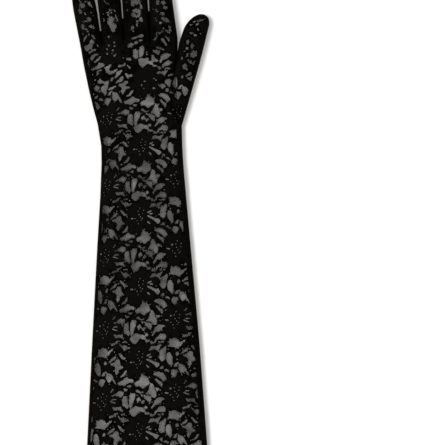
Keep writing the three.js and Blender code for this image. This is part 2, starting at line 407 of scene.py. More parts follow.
class Spot(NamedTuple):
    """A round bud or eyelet."""

    x: float
    y: float
    radius: float

    def distance(self, x: Array, y: Array) -> Array:
        """Signed distance at places given from its middle, positive inside."""
        return self.radius - np.hypot(x, y)


REPEAT_ACROSS = 65.7
REPEAT_ALONG = 64.8
HEART_RADIUS = 9.0  # closed middle of a flower
SPECK_RADIUS = 0.55  # small holes in a flower
# Petals, leaves, stems, buds and shells are relief on the cloth, round the main flower's middle.
PETALS = (
    Petal(85, 18.0, 4.2),
    Petal(57, 17.8, 4.0),
    Petal(20, 18.4, 4.6),
    Petal(-20, 17.0, 3.8),
    Petal(-52, 16.6, 4.0),
    Petal(-92, 17.4, 4.1),
    Petal(-125, 17.2, 4.0),
    Petal(-165, 16.0, 4.6),
    Petal(150, 14.8, 4.0),
    Petal(117, 16.0, 4.2),
)
LEAVES = (
    Blade(9.7, 20.0, 16.6, 32.5, 2.2, -1.4),
    Blade(11.6, 16.6, 17.3, 23.6, 3.0, -0.4),
    Blade(8.7, 13.0, 16.8, 12.5, 1.7, 0.3),
    Blade(20.2, 11.4, 17.3, 7.2, 1.9),
    Blade(9.7, 20.5, 5.1, 29.2, 2.2, 0.4),
    Blade(-0.1, 23.3, -0.1, 30.9, 3.0, -0.3),
    Blade(-6.5, 25.1, -2.8, 31.6, 2.7, -0.5),
    Blade(18.0, 14.2, 19.4, 16.2, 0.9, -0.5),
    Blade(19.4, 16.2, 21.0, 14.9, 1.0, -0.4),
    Blade(-10.4, 17.4, -11.6, 23.9, 3.0),
    Blade(-13.9, 21.4, -16.7, 27.0, 2.2),
    Blade(-23.8, 22.4, -19.1, 23.1, 1.4),
    Blade(-17.9, 17.8, -12.3, 16.4, 1.7, 0.9),
    Blade(-21.1, 19.8, -16.5, 10.1, 3.3, -0.6),
    Blade(-24.2, 17.1, -28.6, 15.7, 1.9),
    Blade(-24.0, 13.2, -28.7, 8.0, 2.3, 0.3),
    Blade(-14.9, 19.6, -12.1, 21.1, 1.3),
    Blade(-16.2, 35.3, -12.3, 39.9, 2.7),
    Blade(-22.9, 3.4, -28.4, 1.8, 1.3),
    Blade(-19.8, -10.6, -14.0, -4.9, 3.2, -0.9),
    Blade(-21.1, -15.4, -14.0, -12.7, 2.2, -0.3),
    Blade(-21.1, -15.9, -23.7, -8.1, 2.8, 0.4),
    Blade(-20.9, -18.7, -14.3, -24.9, 3.6, 0.5),
    Blade(-6.7, -19.3, -10.9, -20.3, 1.4),
    Blade(-5.6, -21.7, -8.1, -27.4, 3.2),
    Blade(-15.8, -30.4, -12.2, -26.1, 2.7),
    Blade(-28.7, -25.7, -19.0, -22.1, 3.2, -0.4),
    Blade(-4.9, -22.5, -0.7, -23.7, 1.7, -0.4),
    Blade(-0.5, -26.6, 4.4, -25.3, 1.7, -0.3),
    Blade(3.2, -31.0, 8.3, -22.7, 3.6, -0.5),
    Blade(11.3, -11.4, 8.8, -20.6, 3.6, 0.5),
    Blade(12.0, -15.0, 18.9, -20.7, 2.2, -0.4),
    Blade(12.4, -16.9, 18.0, -26.3, 3.9, 0.8),
    Blade(5.2, -31.7, 9.4, -32.4, 1.7, -0.4),
    Blade(14.7, -9.8, 16.6, -11.9, 3.3),
    Blade(21.4, -7.4, 17.6, -2.1, 1.5),
    Blade(22.9, -8.9, 22.1, -2.1, 2.2),
    Blade(24.6, -9.1, 26.7, -6.0, 2.8),
    Blade(27.5, -10.3, 33.1, -9.8, 1.7),
    Blade(32.1, -9.7, 35.8, -6.7, 2.8),
    Blade(21.4, -11.4, 24.4, -15.0, 3.0),
    Blade(34.3, 7.1, 38.3, 10.6, 1.9),
    Blade(35.7, 4.3, 39.7, 5.3, 1.7),
    Blade(33.8, -0.0, 39.6, 2.1, 1.9),
    Blade(31.8, -1.2, 30.0, 6.9, 3.6, -0.6),
    Blade(35.8, 12.6, 33.9, 7.2, 2.6),
)
STEMS = (
    Blade(9.4, 18.1, 9.3, 23.6, 1.5, -0.3),
    Blade(5.5, 19.9, 9.5, 19.1, 1.3),
    Blade(9.5, 18.7, 9.4, 12.7, 1.2, 0.4),
    Blade(-10.5, 36.0, -10.2, 24.1, 0.6),
    Blade(-23.1, 17.8, -17.7, 3.3, 1.5, 0.9),
    Blade(-23.1, 17.1, -23.7, 23.1, 1.0),
    Blade(-23.1, 17.0, -20.6, 19.6, 1.2),
    Blade(24.4, 9.3, 23.3, -3.1, 0.8),
    Blade(24.2, 21.9, 23.9, 9.9, 2.2),
    Blade(23.4, 10.4, 20.2, 11.3, 1.5),
    Blade(-5.3, -15.1, -5.8, -22.4, 1.7, -0.3),
    Blade(-6.9, -24.8, -15.6, -22.3, 1.2, 1.0),
    Blade(-10.5, -27.5, -10.5, -36.0, 0.6),
    Blade(-5.2, -24.8, -2.7, -33.0, 1.9, 0.3),
    Blade(-20.9, -16.8, -20.9, -18.4, 1.3),
    Blade(11.1, -11.4, 12.8, -8.0, 1.7),
    Blade(11.1, -12.3, 12.4, -17.4, 1.9),
    Blade(26.3, -9.9, 26.0, -18.3, 1.7),
    Blade(26.3, -10.8, 32.6, -1.7, 1.1),
    Blade(15.6, -10.6, 21.8, -11.1, 1.2, -1.3),
    Blade(21.0, -6.8, 28.3, -10.8, 1.3),
    Blade(32.6, -1.7, 33.9, 6.5, 1.3),
    Blade(23.4, -3.1, 23.2, -9.0, 0.8),
    Blade(9.6, -20.3, 8.2, -23.0, 1.2),
    Blade(-2.3, -26.2, 1.5, -31.9, 0.8),
    Blade(1.5, -31.9, 4.1, -31.1, 0.8),
    Blade(-13.2, 21.3, -10.4, 18.8, 1.3),
    Blade(-20.2, 19.6, -13.5, 19.4, 0.9, 0.5),
    Blade(-28.3, 1.2, -29.8, 4.7, 1.0),
)
BUDS = (
    Spot(5.5, 20.0, 1.0),
    Spot(-23.1, 16.8, 1.3),
    Spot(-6.9, -24.9, 1.7),
    Spot(-20.9, -16.8, 1.0),
    Spot(15.5, -10.9, 1.9),
    Spot(26.1, -7.0, 1.4),
    Spot(34.1, -8.1, 1.7),
    Spot(22.9, -13.6, 1.5),
    Spot(-12.2, -21.6, 1.0),
    Spot(1.5, -31.9, 0.9),
    Spot(-34.7, -2.7, 1.3),
    Spot(-28.1, 1.0, 1.2),
    Spot(23.9, 10.4, 1.5),
    Spot(9.7, 19.0, 1.4),
    Spot(30.5, 5.4, 2.2),
)
SHELLS = (
    Spot(-21.1, 31.5, 4.5),
    Spot(-27.5, -3.3, 3.7),
)
# Small holes of a flower, from its middle.
SPECKS = (
    (-0.6, 8.0),
    (-1.9, 5.2),
    (0.1, -0.3),
    (-3.0, -3.3),
    (2.0, -1.7),
    (2.3, 2.5),
    (-5.2, -1.1),
    (-1.3, 1.9),
    (0.9, -3.4),
    (-2.0, -6.4),
    (2.8, 5.4),
)

# Outlines of the repeat's gaps round its main flower, x and y by turns: the first corner, then the
# steps from corner to corner, in tenths of a millimetre.
GAPS = {
    "roof": (
        -265, 367, 7, 10, 17, 3, 18, 3, 13, 9, 13, 9, 14, 5, 16, -5, 18, -10, 7, -12, -3, -12, -5, -10,
        -8, -6, -8, -9, -9, 7, -18, 9, -17, 6, -13, 7, -17, -4, -15, -5),
    "upright_a": (
        -154, 325, 5, 17, 9, 8, 13, 0, 10, -4, 7, -13, 5, -17, 3, -22, 3, -22, 4, -18, -2, -12,
        -10, -7, -9, 5, -7, 10, -14, 4, -12, 13, -6, 15, -1, 21),
    "upright_b": (
        -91, 349, 8, 16, 16, 4, 13, -6, 10, 2, 8, -10, 2, -18, -5, -20, -8, -20, -8, -18, -6, -20,
        -4, -18, -8, -9, -10, 7, -6, 18, -3, 20, -2, 22, 0, 24),
    "heartgap": (
        -26, 306, 8, 8, 7, 9, 7, 3, 6, -12, 3, -11, -9, -5, -3, -12, -5, -13, -6, 1, -2, 12, -7, 12),
    "twig_e": (
        -29, 393, 14, 1, 11, -11, 12, -13, 9, -10, -9, -3, -13, 10, -14, 11, -9, 9),
    "twig_f": (
        16, 346, 9, 1, 9, -8, -5, -8, -9, 3),
    "saddle": (
        -252, 279, 14, -8, 15, -6, 19, -1, 15, 0, 15, -3, 8, 7, 5, -9, -1, -17, 5, -12, 10, -11,
        -10, -5, -10, 6, -12, 9, -12, 5, -12, 1, -12, -2, -13, 2, -9, 10, -4, 12, -4, 10),
    "crown": (
        -88, 208, 7, -25, 20, -23, 23, -10, 13, 12, 13, 20, 18, 10, 16, -5, 18, -8, 12, 10, -7, 19,
        -14, 16, -12, 7, -19, 0, -18, 13, -18, 2, -16, -11, -24, -7),
    "crown_b": (
        41, 215, 6, 16, 14, 8, 12, -10, 3, -16, -13, -7, -12, 1),
    "tooth": (
        -211, 213, 12, -3, 10, -9, -9, -4, -9, -4, -5, -14, -9, -2, -6, 12, -3, 13, 4, 8),
    "block": (
        -277, 180, 6, 10, 10, 6, 14, 2, 16, -5, 6, -8, -3, -9, -13, -1, -14, -3, -15, 0),
    "brow": (
        -168, 184, 5, 8, 13, 3, 15, -2, 9, -6, 10, -9, -3, -5, -12, 7, -13, 1, -12, 0),
    "boat": (
        -194, 182, 9, -1, 8, -13, 8, -11, 9, 1, 17, 2, 16, -5, 15, -16, 16, -16, -6, -11, -12, 7,
        -11, -2, -9, -11, -12, 1, -12, 12, -10, 16, -8, 12, -10, 15),
    "sweep": (
        -244, 150, -4, -12, -12, -10, -8, -9, -8, -12, -9, -13, -15, -5, -18, 1, -7, 9, 9, 11, 8, 12,
        12, 9, 12, 3, 11, 6, 13, 6),
    "leafgap": (
        -290, 26, 13, 17, 16, 17, 18, 12, 15, 4, 7, -13, -4, -17, -14, -9, -18, -4, -16, -10),
    "hook": (
        -197, 95, 12, -4, 14, -6, 13, -11, 10, -16, 11, -14, 12, -7, -10, -6, -18, 0, -13, 8, -10, 12,
        -10, 15, -8, 14),
    "star": (
        -271, 6, 8, 10, 23, 4, 13, 12, 14, 9, 18, 0, 13, -10, 3, -17, -2, -13, 15, -23, 19, -13,
        -8, -12, -16, -5, -16, -4, -7, -18, -15, -23, -12, 15, -9, 22, 5, 20, -5, 18, -20, 16),
    "blade": (
        -119, -69, 2, -17, -5, -16, -12, -15, -17, -6, -18, -3, -9, 7, 16, 11, 12, 14, 8, 13, 11, 10),
    "flag": (
        -303, -60, 15, -8, 23, -8, 16, -14, 6, -12, 4, -15, 9, -18, 9, -16, 4, -20, -4, -8, -9, 13,
        -13, 14, -5, 12, -9, 2, -8, -10, -12, -8, -12, 12, -12, 19, -6, 16, -4, 14, 6, 13, -2, 14),
    "wave": (
        -198, -174, 9, 12, 15, 3, 14, 5, 15, 8, 11, 12, 14, 6, 15, -7, 12, -15, 17, -3, 12, -7,
        10, -10, -4, -11, -6, -10, -15, 8, -14, -1, -11, -8, -15, -3, -14, -9, -12, 1, -11, 12,
        -15, -3, -14, 6),
    "drop": (
        -115, -209, 9, 1, 12, 0, 14, 4, 10, -8, -6, -9, -12, -5, -12, -1, -8, 8),
    "bud_a": (
        -147, -227, 14, 1, 14, -6, 17, -10, -3, -9, -14, -4, -14, 2, -9, 12),
    "slant": (
        -266, -239, 9, 13, 11, 15, 11, -5, -4, -14, -9, -7, -10, -7),
    "bud_b": (
        -35, -268, 7, 10, 15, -3, 12, -9, 6, -13, -8, -6, -11, 5, -10, 7),
    "bud_c": (
        7, -289, 9, 7, 11, 2, 9, 8, 5, -7, -6, -11, -12, -4, -10, -2),
    "bud_d": (
        15, -304, 12, 2, 9, -10, -3, -12, -10, 7),
    "cup": (
        -34, -220, -9, 16, 5, 16, 15, 8, 17, 2, 7, 14, 7, 14, 7, 17, 7, 13, 11, -8, 12, -12, 14, -7,
        11, -10, 11, -5, 15, 13, -9, -16, -9, -10, 8, -17, 5, -15, -8, -15, -11, -10, -14, -2, -6, -13,
        -11, -7, -14, 6, -11, 2, -8, 11, -10, 10, -10, -2, -13, -3),
    "pebble": (
        184, -91, 4, 12, 8, 7, 14, 2, 11, -7, -3, -11, -8, -8, -14, -3),
    "vee": (
        224, -113, 1, 11, 13, 5, 11, -7, 14, -7, 7, -11, -8, -10, -9, 7, -11, 5, -10, 0),
    "mouth": (
        125, -136, 10, 11, 11, 5, 17, 2, 16, -1, 20, -8, 14, -10, 12, -10, 12, -18, 0, -18, -12, -17,
        -13, -7, -10, 10, -9, 11, -14, 11, -14, 11, -16, 10, -15, 8),
    "knife": (
        141, -183, 11, 5, 14, -10, 14, -10, 14, -7, 11, -12, 5, -14, -6, -15, -6, -11, -7, 5, -4, 14,
        -10, 7, -11, 12, -11, 12, -9, 12),
    "starlow": (
        96, -221, 8, 9, 11, -7, 12, -14, 8, -18, 6, -20, 8, -19, 3, -20, 0, -22, -8, -12, -14, -4,
        -14, 10, -10, 14, -14, 10, -20, 4, -18, 8, 12, 11, 12, 12, 5, 16, 6, 20),
    "starlow_b": (
        142, -265, 8, 8, 14, -4, 14, -10, -6, -12, -11, -7, -11, 4, -6, 10),
    "shield": (
        280, -141, 3, 20, 11, 10, 14, 3, 17, -6, 14, -7, 5, -11, -8, -14, -7, -16, -10, -16, -12, 0,
        -11, 7, -10, 10, -9, 9),
    "lance": (
        306, -87, 6, 17, 6, 13, 11, 8, 18, 3, -4, -10, -5, -11, 2, -14, -11, -5, -11, -2),
    "glove": (
        41, -327, 6, 9, 14, 2, 8, 3, 8, -13, 14, -2, 12, -13, 2, -17, -8, -20, -9, -3, -11, 12, -14, 7,
        -11, 10, -9, 13),
    "crumb_a": (
        14, -307, 9, 3, 12, -9, -6, -9, -11, 4),
    "crumb_b": (
        -7, -321, 9, -10, 9, -16, 6, -12, -7, -8, -11, 10, -9, 13),
    "crumb_c": (
        14, -372, 12, 10, 12, -8, 3, -14, -12, -8, -9, 7),
    "pale": (
        41, 337, 9, 4, 9, -12, 15, -5, 14, 3, 15, -8, 6, -12, -2, -17, -3, -16, -6, -16, -6, 5, -9, 15,
        -9, 7, -11, 13, -12, 9, -10, 13, -3, 9),
    "pale_a": (
        24, 286, 7, 11, 11, -5, 7, -12, -7, -11, -13, 5),
    "wing": (
        112, 213, 3, 14, 7, 14, 4, 16, 8, 16, 11, 10, 12, 11, 14, 6, 14, -1, 16, -4, 17, -6, 10, -7,
        -12, -8, -11, -2, -3, -11, -8, -8, -9, -11, -11, -6, -11, 0, -14, 5, -11, -11, -11, -10,
        -5, -13, -7, -4),
    "grotto": (
        132, 149, 3, 14, 6, 14, 11, 13, 14, 10, 8, 14, 14, 7, 9, -7, 10, 6, 14, -8, 11, -12, 2, -17,
        -3, -17, -12, -5, -11, 4, -14, -5, -11, 10, -14, -1, -11, -2, -7, -8, -4, -14, -6, -4),
    "grotto_b": (
        161, 151, 14, 3, 9, -10, 11, 4, 17, 7, 12, -6, -9, -12, -17, 0, -14, -3, -15, 5),
    "bean": (
        43, 169, 12, 10, 16, 2, 16, -6, 6, -14, -10, -9, -16, 1, -14, 6),
    "fang": (
        96, 135, 2, 17, 3, 12, 5, 6, 7, -11, 11, -9, 11, -16, -13, -3, -11, 4),
    "bridge": (
        85, 78, 8, 16, 6, 14, 5, 9, 11, -2, 14, 2, 15, -8, 11, 2, 11, 4, 14, 5, 17, 3, -5, -13,
        -11, -13, -3, -17, -5, -20, -9, -1, -9, 12, -11, 8, -14, 6, -14, -3, -14, -3),
    "upright_c": (
        173, 9, 4, 22, 2, 22, 3, 23, 14, 4, 13, 2, 9, 8, 8, 11, 8, -1, 6, -12, 1, -17, -4, -23,
        -3, -22, 0, -23, -5, -16, -8, -6, -8, -10, -9, -3, -8, 10, -8, 1, -7, 12, -6, 6),
    "upright_d": (
        241, 19, 6, 18, 14, 8, 14, -4, 12, -14, 6, -22, 4, -22, 2, -20, -1, -20, -6, -19, -9, -5,
        -10, 11, -12, 11, -10, 10, -8, 16, -5, 22),
    "cloud": (
        251, 96, 6, 12, 9, 10, -3, 18, 2, 16, 2, 15, 17, -5, 14, 8, 16, 5, 14, -13, 17, -7, 9, -7,
        3, -20, -1, -23, -2, -19, -8, -15, -12, 3, -16, 12, -20, 1, -16, 7, -14, 1),
    "eye": (
        328, 18, -2, 14, 8, 11, 11, 3, 7, -13, -1, -14, -9, -9, -8, 1),
}
# Outlines of the cuts inside both flowers of the repeat, written the same way.
CUTS = {
    "comb_a": (
        62, 32, 7, 8, 14, 5, 16, 4, 4, -7, -11, -6, -14, -7, -9, -4),
    "comb_b": (
        80, 21, 12, 4, 14, 1, 8, -8, -6, -8, -13, 0, -10, 3),
    "comb_c": (
        62, 6, 16, -5, 18, -6, 18, -9, 18, -10, 16, -6, 18, -8, 12, -14, -8, -16, -12, -12, -10, 6,
        -10, 13, -14, 13, -16, 12, -14, 10, -16, 11, -12, 10),
    "nick": (
        60, -50, 8, 2, 9, -9, 12, -13, -3, -9, -9, 4, -11, 10),
    "left_slit": (
        -91, -6, 10, 6, 12, -3, 5, -8, -10, -4, -11, 2),
    "side_comb_a": (
        -258, 337, 18, 6, 28, -3, 4, -7, -26, -1, -18, 0),
    "side_comb_b": (
        -270, 332, 17, -7, 24, -11, 19, -11, -6, -4, -25, 9, -20, 10),
    "side_slit": (
        221, -306, 15, 0, 19, -5, 10, -6, -15, -4, -17, 4),
    "side_nick": (
        267, -275, 7, 8, 10, -3, 2, -11, -12, -6),
}

# Outlines of the hand's gaps, where the stretched lace leaves the repeat, in the glove's plan.
HAND_GAPS = (
    (-518, 4068, 15, -9, 15, 12, 24, 15, 21, 0, -3, 15, -24, 3, -24, -15, -18, -9),
    (-500, 4006, 15, -9, 12, 12, 12, 21, 15, 12, 18, 9, 0, 11, -18, 2, -21, -8, -18, -11, -12, -18),
    (-467, 3979, 12, -3, 15, 14, 21, 13, 15, 21, 3, 15, -15, -3, -12, -15, -18, -15, -12, -12),
    (-491, 3914, 15, -6, 18, 9, 18, 6, 18, 0, 21, 11, 23, 9, 9, 18, -9, 15, -15, -3, -17, 9, -15, -6,
     -12, -18, -15, -15, -21, -9, -12, -6),
    (-521, 4003, 9, 9, 3, -21, -1, -24, 7, -24, -9, -3, -6, 21, -4, 24),
    (-446, 3866, 15, 3, 12, 15, -9, 12, 9, 12, 18, -9, 11, 12, -6, 9, -20, -3, -18, -6, -9, -15,
     3, -15),
    (-369, 3937, 15, 9, 18, 3, 9, 15, 15, 3, 3, -18, -12, -15, -12, -14, 6, -12, 24, -3, 24, 12, 20, 9,
     3, -12, -17, -18, -21, -15, -21, -9, -18, 6, -12, 12, -15, 0, -3, 18, 0, 15),
    (-250, 3943, 6, 18, 15, 0, 15, -3, 15, 9, 9, 15, 12, -15, -9, -15, -15, -6, -18, -6, -18, -6),
    (-282, 3839, 14, 0, 15, 15, 18, 18, 18, 24, 12, 15, -15, 6, -18, -9, -18, -6, -12, -18, -5, -21),
    (-321, 3812, 15, 0, 15, 15, 0, 18, -12, 9, -9, -15, -6, -15),
    (-437, 3812, 9, -17, 21, -6, 11, 6, 15, 5, 6, -17, 12, -18, 12, -18, 9, -6, 3, 24, 3, 24, 9, 17,
     -6, 12, -21, -6, -21, 0, -21, 9, -8, 18, -12, -3, -9, -12),
    (-273, 3795, 14, 0, 15, 8, 24, 3, 15, 9, 6, 21, 0, 18, -12, 6, -15, -12, -15, -18, -15, -6,
     -6, -15),
    (-250, 3777, 15, -9, 12, -15, 9, -6, 12, 15, 18, 12, 21, 21, 3, 14, -18, 9, -15, -6, -12, -12,
     -21, -8, -15, -6),
    (-339, 3732, 18, 0, 12, 9, 15, 0, 12, 15, 14, 3, 0, 12, -20, -3, -15, -9, -18, 0, -9, -12),
    (-169, 3958, 12, 3, 9, -15, 11, -9, 3, -14, -14, 0, -9, 14),
    (-214, 4033, 12, -15, 15, -15, 21, -3, 18, -3, 20, 6, -6, 18, -11, 3, -21, -3, -18, 3, -15, 3),
    (-226, 4071, 12, 15, 15, 6, 12, -6, -6, -12, 21, -6, 12, -12, -6, -8, -21, 5, -18, 9),
    (-190, 4110, 12, 12, 12, 15, 18, 9, 23, 0, 0, -33, -23, 6, -18, -6),
    (-119, 4086, 9, 12, 18, 3, 18, -9, 6, -18, -6, -18, 6, -17, -6, -21, -15, -6, -18, 15, -15, 12,
     9, 17, -6, 15),
    (-62, 4110, 15, 15, 21, 6, 11, -12, 0, -27, -5, -24, -9, -17, -9, -21, -18, -6, -6, 21, -3, 29),
    (0, 4056, 3, 18, 15, 12, 15, -6, 3, -18, -12, -11, -15, -3),
    (42, 4101, 18, 6, 12, -15, 18, 9, 18, -9, 20, -6, -3, -18, -9, -12, -3, -14, -14, 9, -12, 17,
     -18, 3, -15, 15),
    (84, 4122, 24, 3, 26, -9, 30, -12, -3, -15, -24, 6, -26, 9, -21, 6),
    (-68, 4012, 15, 6, 18, 3, 18, -3, 20, 3, 24, 3, 18, 6, 3, 21, 12, 5, 9, -17, 15, -18, 18, -15,
     11, -9, -11, -9, -21, 0, -15, -3, -6, -15, -12, -9, -21, 9, -18, -3, -18, -12, -8, -15, -9, -6,
     -15, 9, -15, 12, -9, 18),
    (57, 3967, 15, -3, 18, -6, 12, -9, -12, -9, -18, 3, -15, 9),
    (105, 3943, 11, 9, 15, -12, 9, -17, -15, -6, -17, 9),
    (116, 3985, 12, -6, 12, 9, 9, 15, 18, 6, 24, 9, 18, 15, 15, 18, -15, 11, -24, 6, -24, -6, -18, -11,
     -12, -18, -3, -24),
    (137, 3943, 12, -12, 12, 12, 15, 12, 21, -3, 24, 15, 17, 18, -17, 9, -27, 9, -18, -9, -15, -15,
     -15, -15),
    (161, 3928, 15, 12, 21, -3, 18, 0, 6, -11, -21, -9, -15, 9, -15, -9),
    (90, 3884, 12, 18, 17, 3, 18, -6, 18, 9, 21, 6, 18, -3, -3, -12, -12, -12, -12, -21, -15, 3,
     -15, 15, -18, -6, -17, -3),
    (191, 3860, 12, 15, 18, 9, 23, 6, 12, -12, -15, -12, -20, -6),
    (164, 3800, 6, 21, 15, 12, 24, 3, 18, -9, 0, -21, -6, -17, -9, -24, -12, 0, -12, 21, -15, 3),
    (233, 3812, 11, 15, 21, -3, 15, -12, 3, -23, -6, -24, -12, -15, -15, -9, -9, 12, 0, 24, -8, 12),
    (96, 3789, 17, -3, 15, 3, 21, 6, 18, -12, 6, -21, -12, -12, -15, -9, -9, 12, -12, 12, -14, 12),
    (173, 3735, 12, 12, 21, -6, 0, -15, -15, -6, -15, 3),
    (-187, 3884, 12, 3, 15, -15, 20, 3, 18, 0, 3, -15, -15, -9, -17, -3, -9, -12, -12, 12, -9, 18),
    (-559, 4173, -3, 14, 9, 18, 12, 21, 12, -3, 0, -18, -12, -18, -9, -14),
    (-488, 4229, 12, 3, 15, -15, 9, -24, -9, -6, -15, 18, -9, 12),
    (-518, 4235, 9, 9, 9, -9, -6, -12, -10, 3),
    (-550, 4122, 12, 12, 20, 3, 12, 12, 3, 18, 9, 17, 15, 3, 21, -17, -6, -15, -12, -12, 0, -24,
     -9, -18, -21, 0, -9, -15, -20, -6, -15, 15),
    (-443, 4143, 12, 3, 9, -15, -3, -15, -15, 12),
    (-214, 4152, 3, 12, 15, 9, 9, -9, -15, -15),
    (-151, 4193, 20, -3, 24, -3, 24, 9, 18, 12, 21, -3, 24, 9, 3, 15, -21, 6, -21, -9, -24, -12,
     -24, -3, -21, -9),
    (-71, 4181, 15, 6, 18, 0, 9, -8, -15, -9, -18, 3),
    (-107, 4158, 9, 15, 18, 1, 12, -10, -12, -15, -18, -3),
    (-193, 4110, 18, 15, 15, 18, 17, 12, 24, 0, 15, -12, -15, -15, -18, -9, -17, 0, -18, -6, -15, -12),
    (0, 4187, 12, 12, 18, 0, 9, -12, -12, -8, -18, 0),
    (45, 4193, 15, 12, 18, -3, 12, 15, -6, 24, 6, 18, 12, -6, 0, -24, -3, -27, -9, -18, -15, -11,
     -18, 6),
    (105, 4244, 11, 12, 15, -3, 9, 15, 15, 0, -3, -12, -18, -12, -15, -12, -11, 3),
    (131, 4187, 12, 12, 18, -3, 9, -17, 15, -27, 9, -18, -12, -6, -15, 15, -15, 15, -12, 12),
    (170, 4211, 12, 6, 18, -12, 12, -18, 3, -14, -12, -3, -15, 17, -12, 12),
    (167, 4274, 15, 3, 18, -15, 18, -15, -3, -12, -18, 9, -18, 15),
    (0, 4149, 12, 3, 18, -15, 12, -12, -12, -6, -18, 15),
)
HAND_SPECKS = (
    Spot(-34.8, 410.1, 0.96),
    Spot(-29.7, 408.9, 0.84),
    Spot(-34.8, 405.9, 0.96),
    Spot(-28.2, 404.2, 0.90),
    Spot(-30.6, 406.2, 0.60),
    Spot(-26.8, 405.6, 0.60),
    Spot(-45.5, 382.4, 0.84),
    Spot(-46.7, 378.9, 0.60),
    Spot(-44.9, 374.8, 0.72),
    Spot(-41.6, 372.3, 0.78),
    Spot(-47.9, 387.5, 0.60),
    Spot(-1.2, 381.2, 0.78),
    Spot(-3.8, 377.7, 0.78),
    Spot(6.6, 375, 0.84),
    Spot(7.2, 383.9, 0.72),
    Spot(9, 382.4, 0.72),
    Spot(-28.5, 416.1, 0.96),
    Spot(-33.3, 413.4, 0.96),
    Spot(-28.2, 412.8, 0.78),
    Spot(-33.3, 421.1, 0.96),
    Spot(-52.2, 425.9, 0.72),
    Spot(-54, 427.9, 0.72),
    Spot(-56.5, 423.6, 0.72),
    Spot(15.6, 428.6, 0.72),
    Spot(-11.3, 425.9, 0.66),
    Spot(-19.9, 415.2, 0.72),
)


class Oval(NamedTuple):
    """An opening on a finger: distance from the hem, offset from the finger's middle, size and turn."""

    y: float
    off: float
    wide: float
    long: float
    turn: float = 0.0


LITTLE_OPENINGS = (
    Oval(448.9, -1.2, 4, 4.5, 20),
    Oval(443.8, -4.3, 3.4, 4.5),
    Oval(441.7, -0.2, 1.6, 1.6),
    Oval(442.7, 5.3, 1.3, 1.3),
    Oval(451, 5, 2, 2.7),
    Oval(434.9, -1.1, 3.8, 1.6),
    Oval(436.9, 2.4, 4, 3.4),
    Oval(430.2, -4.2, 2.9, 5.6),
    Oval(429.9, 3.9, 4.3, 2.5, -10),
    Oval(427.9, -1, 1, 1),
    Oval(426.8, 0.6, 1, 1),
    Oval(423.1, -3.3, 1.1, 1.3),
    Oval(422.6, 1.6, 1.3, 1.3),
    Oval(439.9, 7.1, 1.1, 1.1),
    Oval(419.9, -3.1, 1.6, 5.6, -25),
    Oval(420.4, 5, 1.8, 7.2, 30),
)
RING_OPENINGS = (
    Oval(451.4, -2, 4.7, 1.1, -40),
    Oval(444.9, 0.3, 3.2, 1.8, 20),
    Oval(442.6, -1.8, 2.2, 1.3),
    Oval(440.6, -1.7, 2, 1.1),
    Oval(442.7, 1.1, 1.4, 1.4),
    Oval(444.4, 4.3, 1.6, 2.2),
    Oval(438, 5.2, 1.6, 7.2, 12),
    Oval(436.7, 0.4, 5.2, 5.4),
    Oval(433.7, -0.8, 5.2, 4.5),
    Oval(430.6, 1.4, 6.5, 4.9),
    Oval(427.4, 1, 3.4, 3.8),
    Oval(436, -6.2, 1.6, 3.1),
    Oval(421, -2.5, 1.4, 1.4),
    Oval(441.7, -6.4, 1.1, 1.1),
)
MIDDLE_OPENINGS = (
    Oval(452.5, 1, 8.3, 4.5),
    Oval(450.1, -1.9, 3.8, 3.4),
    Oval(448.1, 5.2, 2.2, 4.7),
    Oval(444.4, 1.3, 6.3, 3.6),
    Oval(442, 3.4, 2.2, 4.5),
    Oval(440.6, -1.8, 4.3, 3.2),
    Oval(438.9, 0.1, 1.8, 1.8),
    Oval(444.9, -7.4, 1.5, 1.5),
    Oval(452.5, -7.4, 1.4, 1.4),
    Oval(439.9, 2, 2.2, 2.2),
    Oval(436.5, 4.5, 3.1, 4.5),
    Oval(434.9, 1.1, 2.3, 2),
    Oval(432, 0.6, 1.4, 2.7),
    Oval(429.3, -3.3, 2.3, 3.6),
    Oval(426.9, -2.1, 2, 1.8),
    Oval(427.7, -4.8, 1.1, 1.3),
    Oval(420.1, -2.8, 6.3, 1.3, 12),
    Oval(422.1, 3.4, 7.2, 1.4, 12),
    Oval(419.7, 2.8, 7.2, 1.2, 14),
    Oval(417.9, -0.4, 5.6, 1.3, 14),
    Oval(417, 1.4, 2.7, 1.4),
)
INDEX_OPENINGS = (
    Oval(452.1, -2.9, 3.1, 4.7),
    Oval(451.7, 2.4, 4, 3.6),
    Oval(445.4, -4.9, 1.3, 2.7),
    Oval(443.5, -3.6, 1.6, 1.3),
    Oval(446, -7.4, 1.1, 1.1),
    Oval(447.2, 3.8, 4, 3.1),
    Oval(441.7, 0.6, 4, 2.5),
    Oval(436.5, 2.8, 8.1, 3.1, -27),
    Oval(433.5, -1.8, 2.5, 2.5),
    Oval(437.8, -6, 1.3, 1.3),
    Oval(435.1, -4.9, 1.1, 1.1),
    Oval(428.8, 6.2, 2.5, 5.4),
    Oval(425.3, 1.8, 5.4, 2),
    Oval(424.2, -2.8, 3.6, 1.6),
    Oval(419.2, -13.4, 3.6, 2.5),
    Oval(421, -7.4, 2.5, 7.2, -12),
    Oval(418.1, -3.2, 1.8, 1.8),
    Oval(420.6, 4.1, 2.3, 5.6, 25),
)
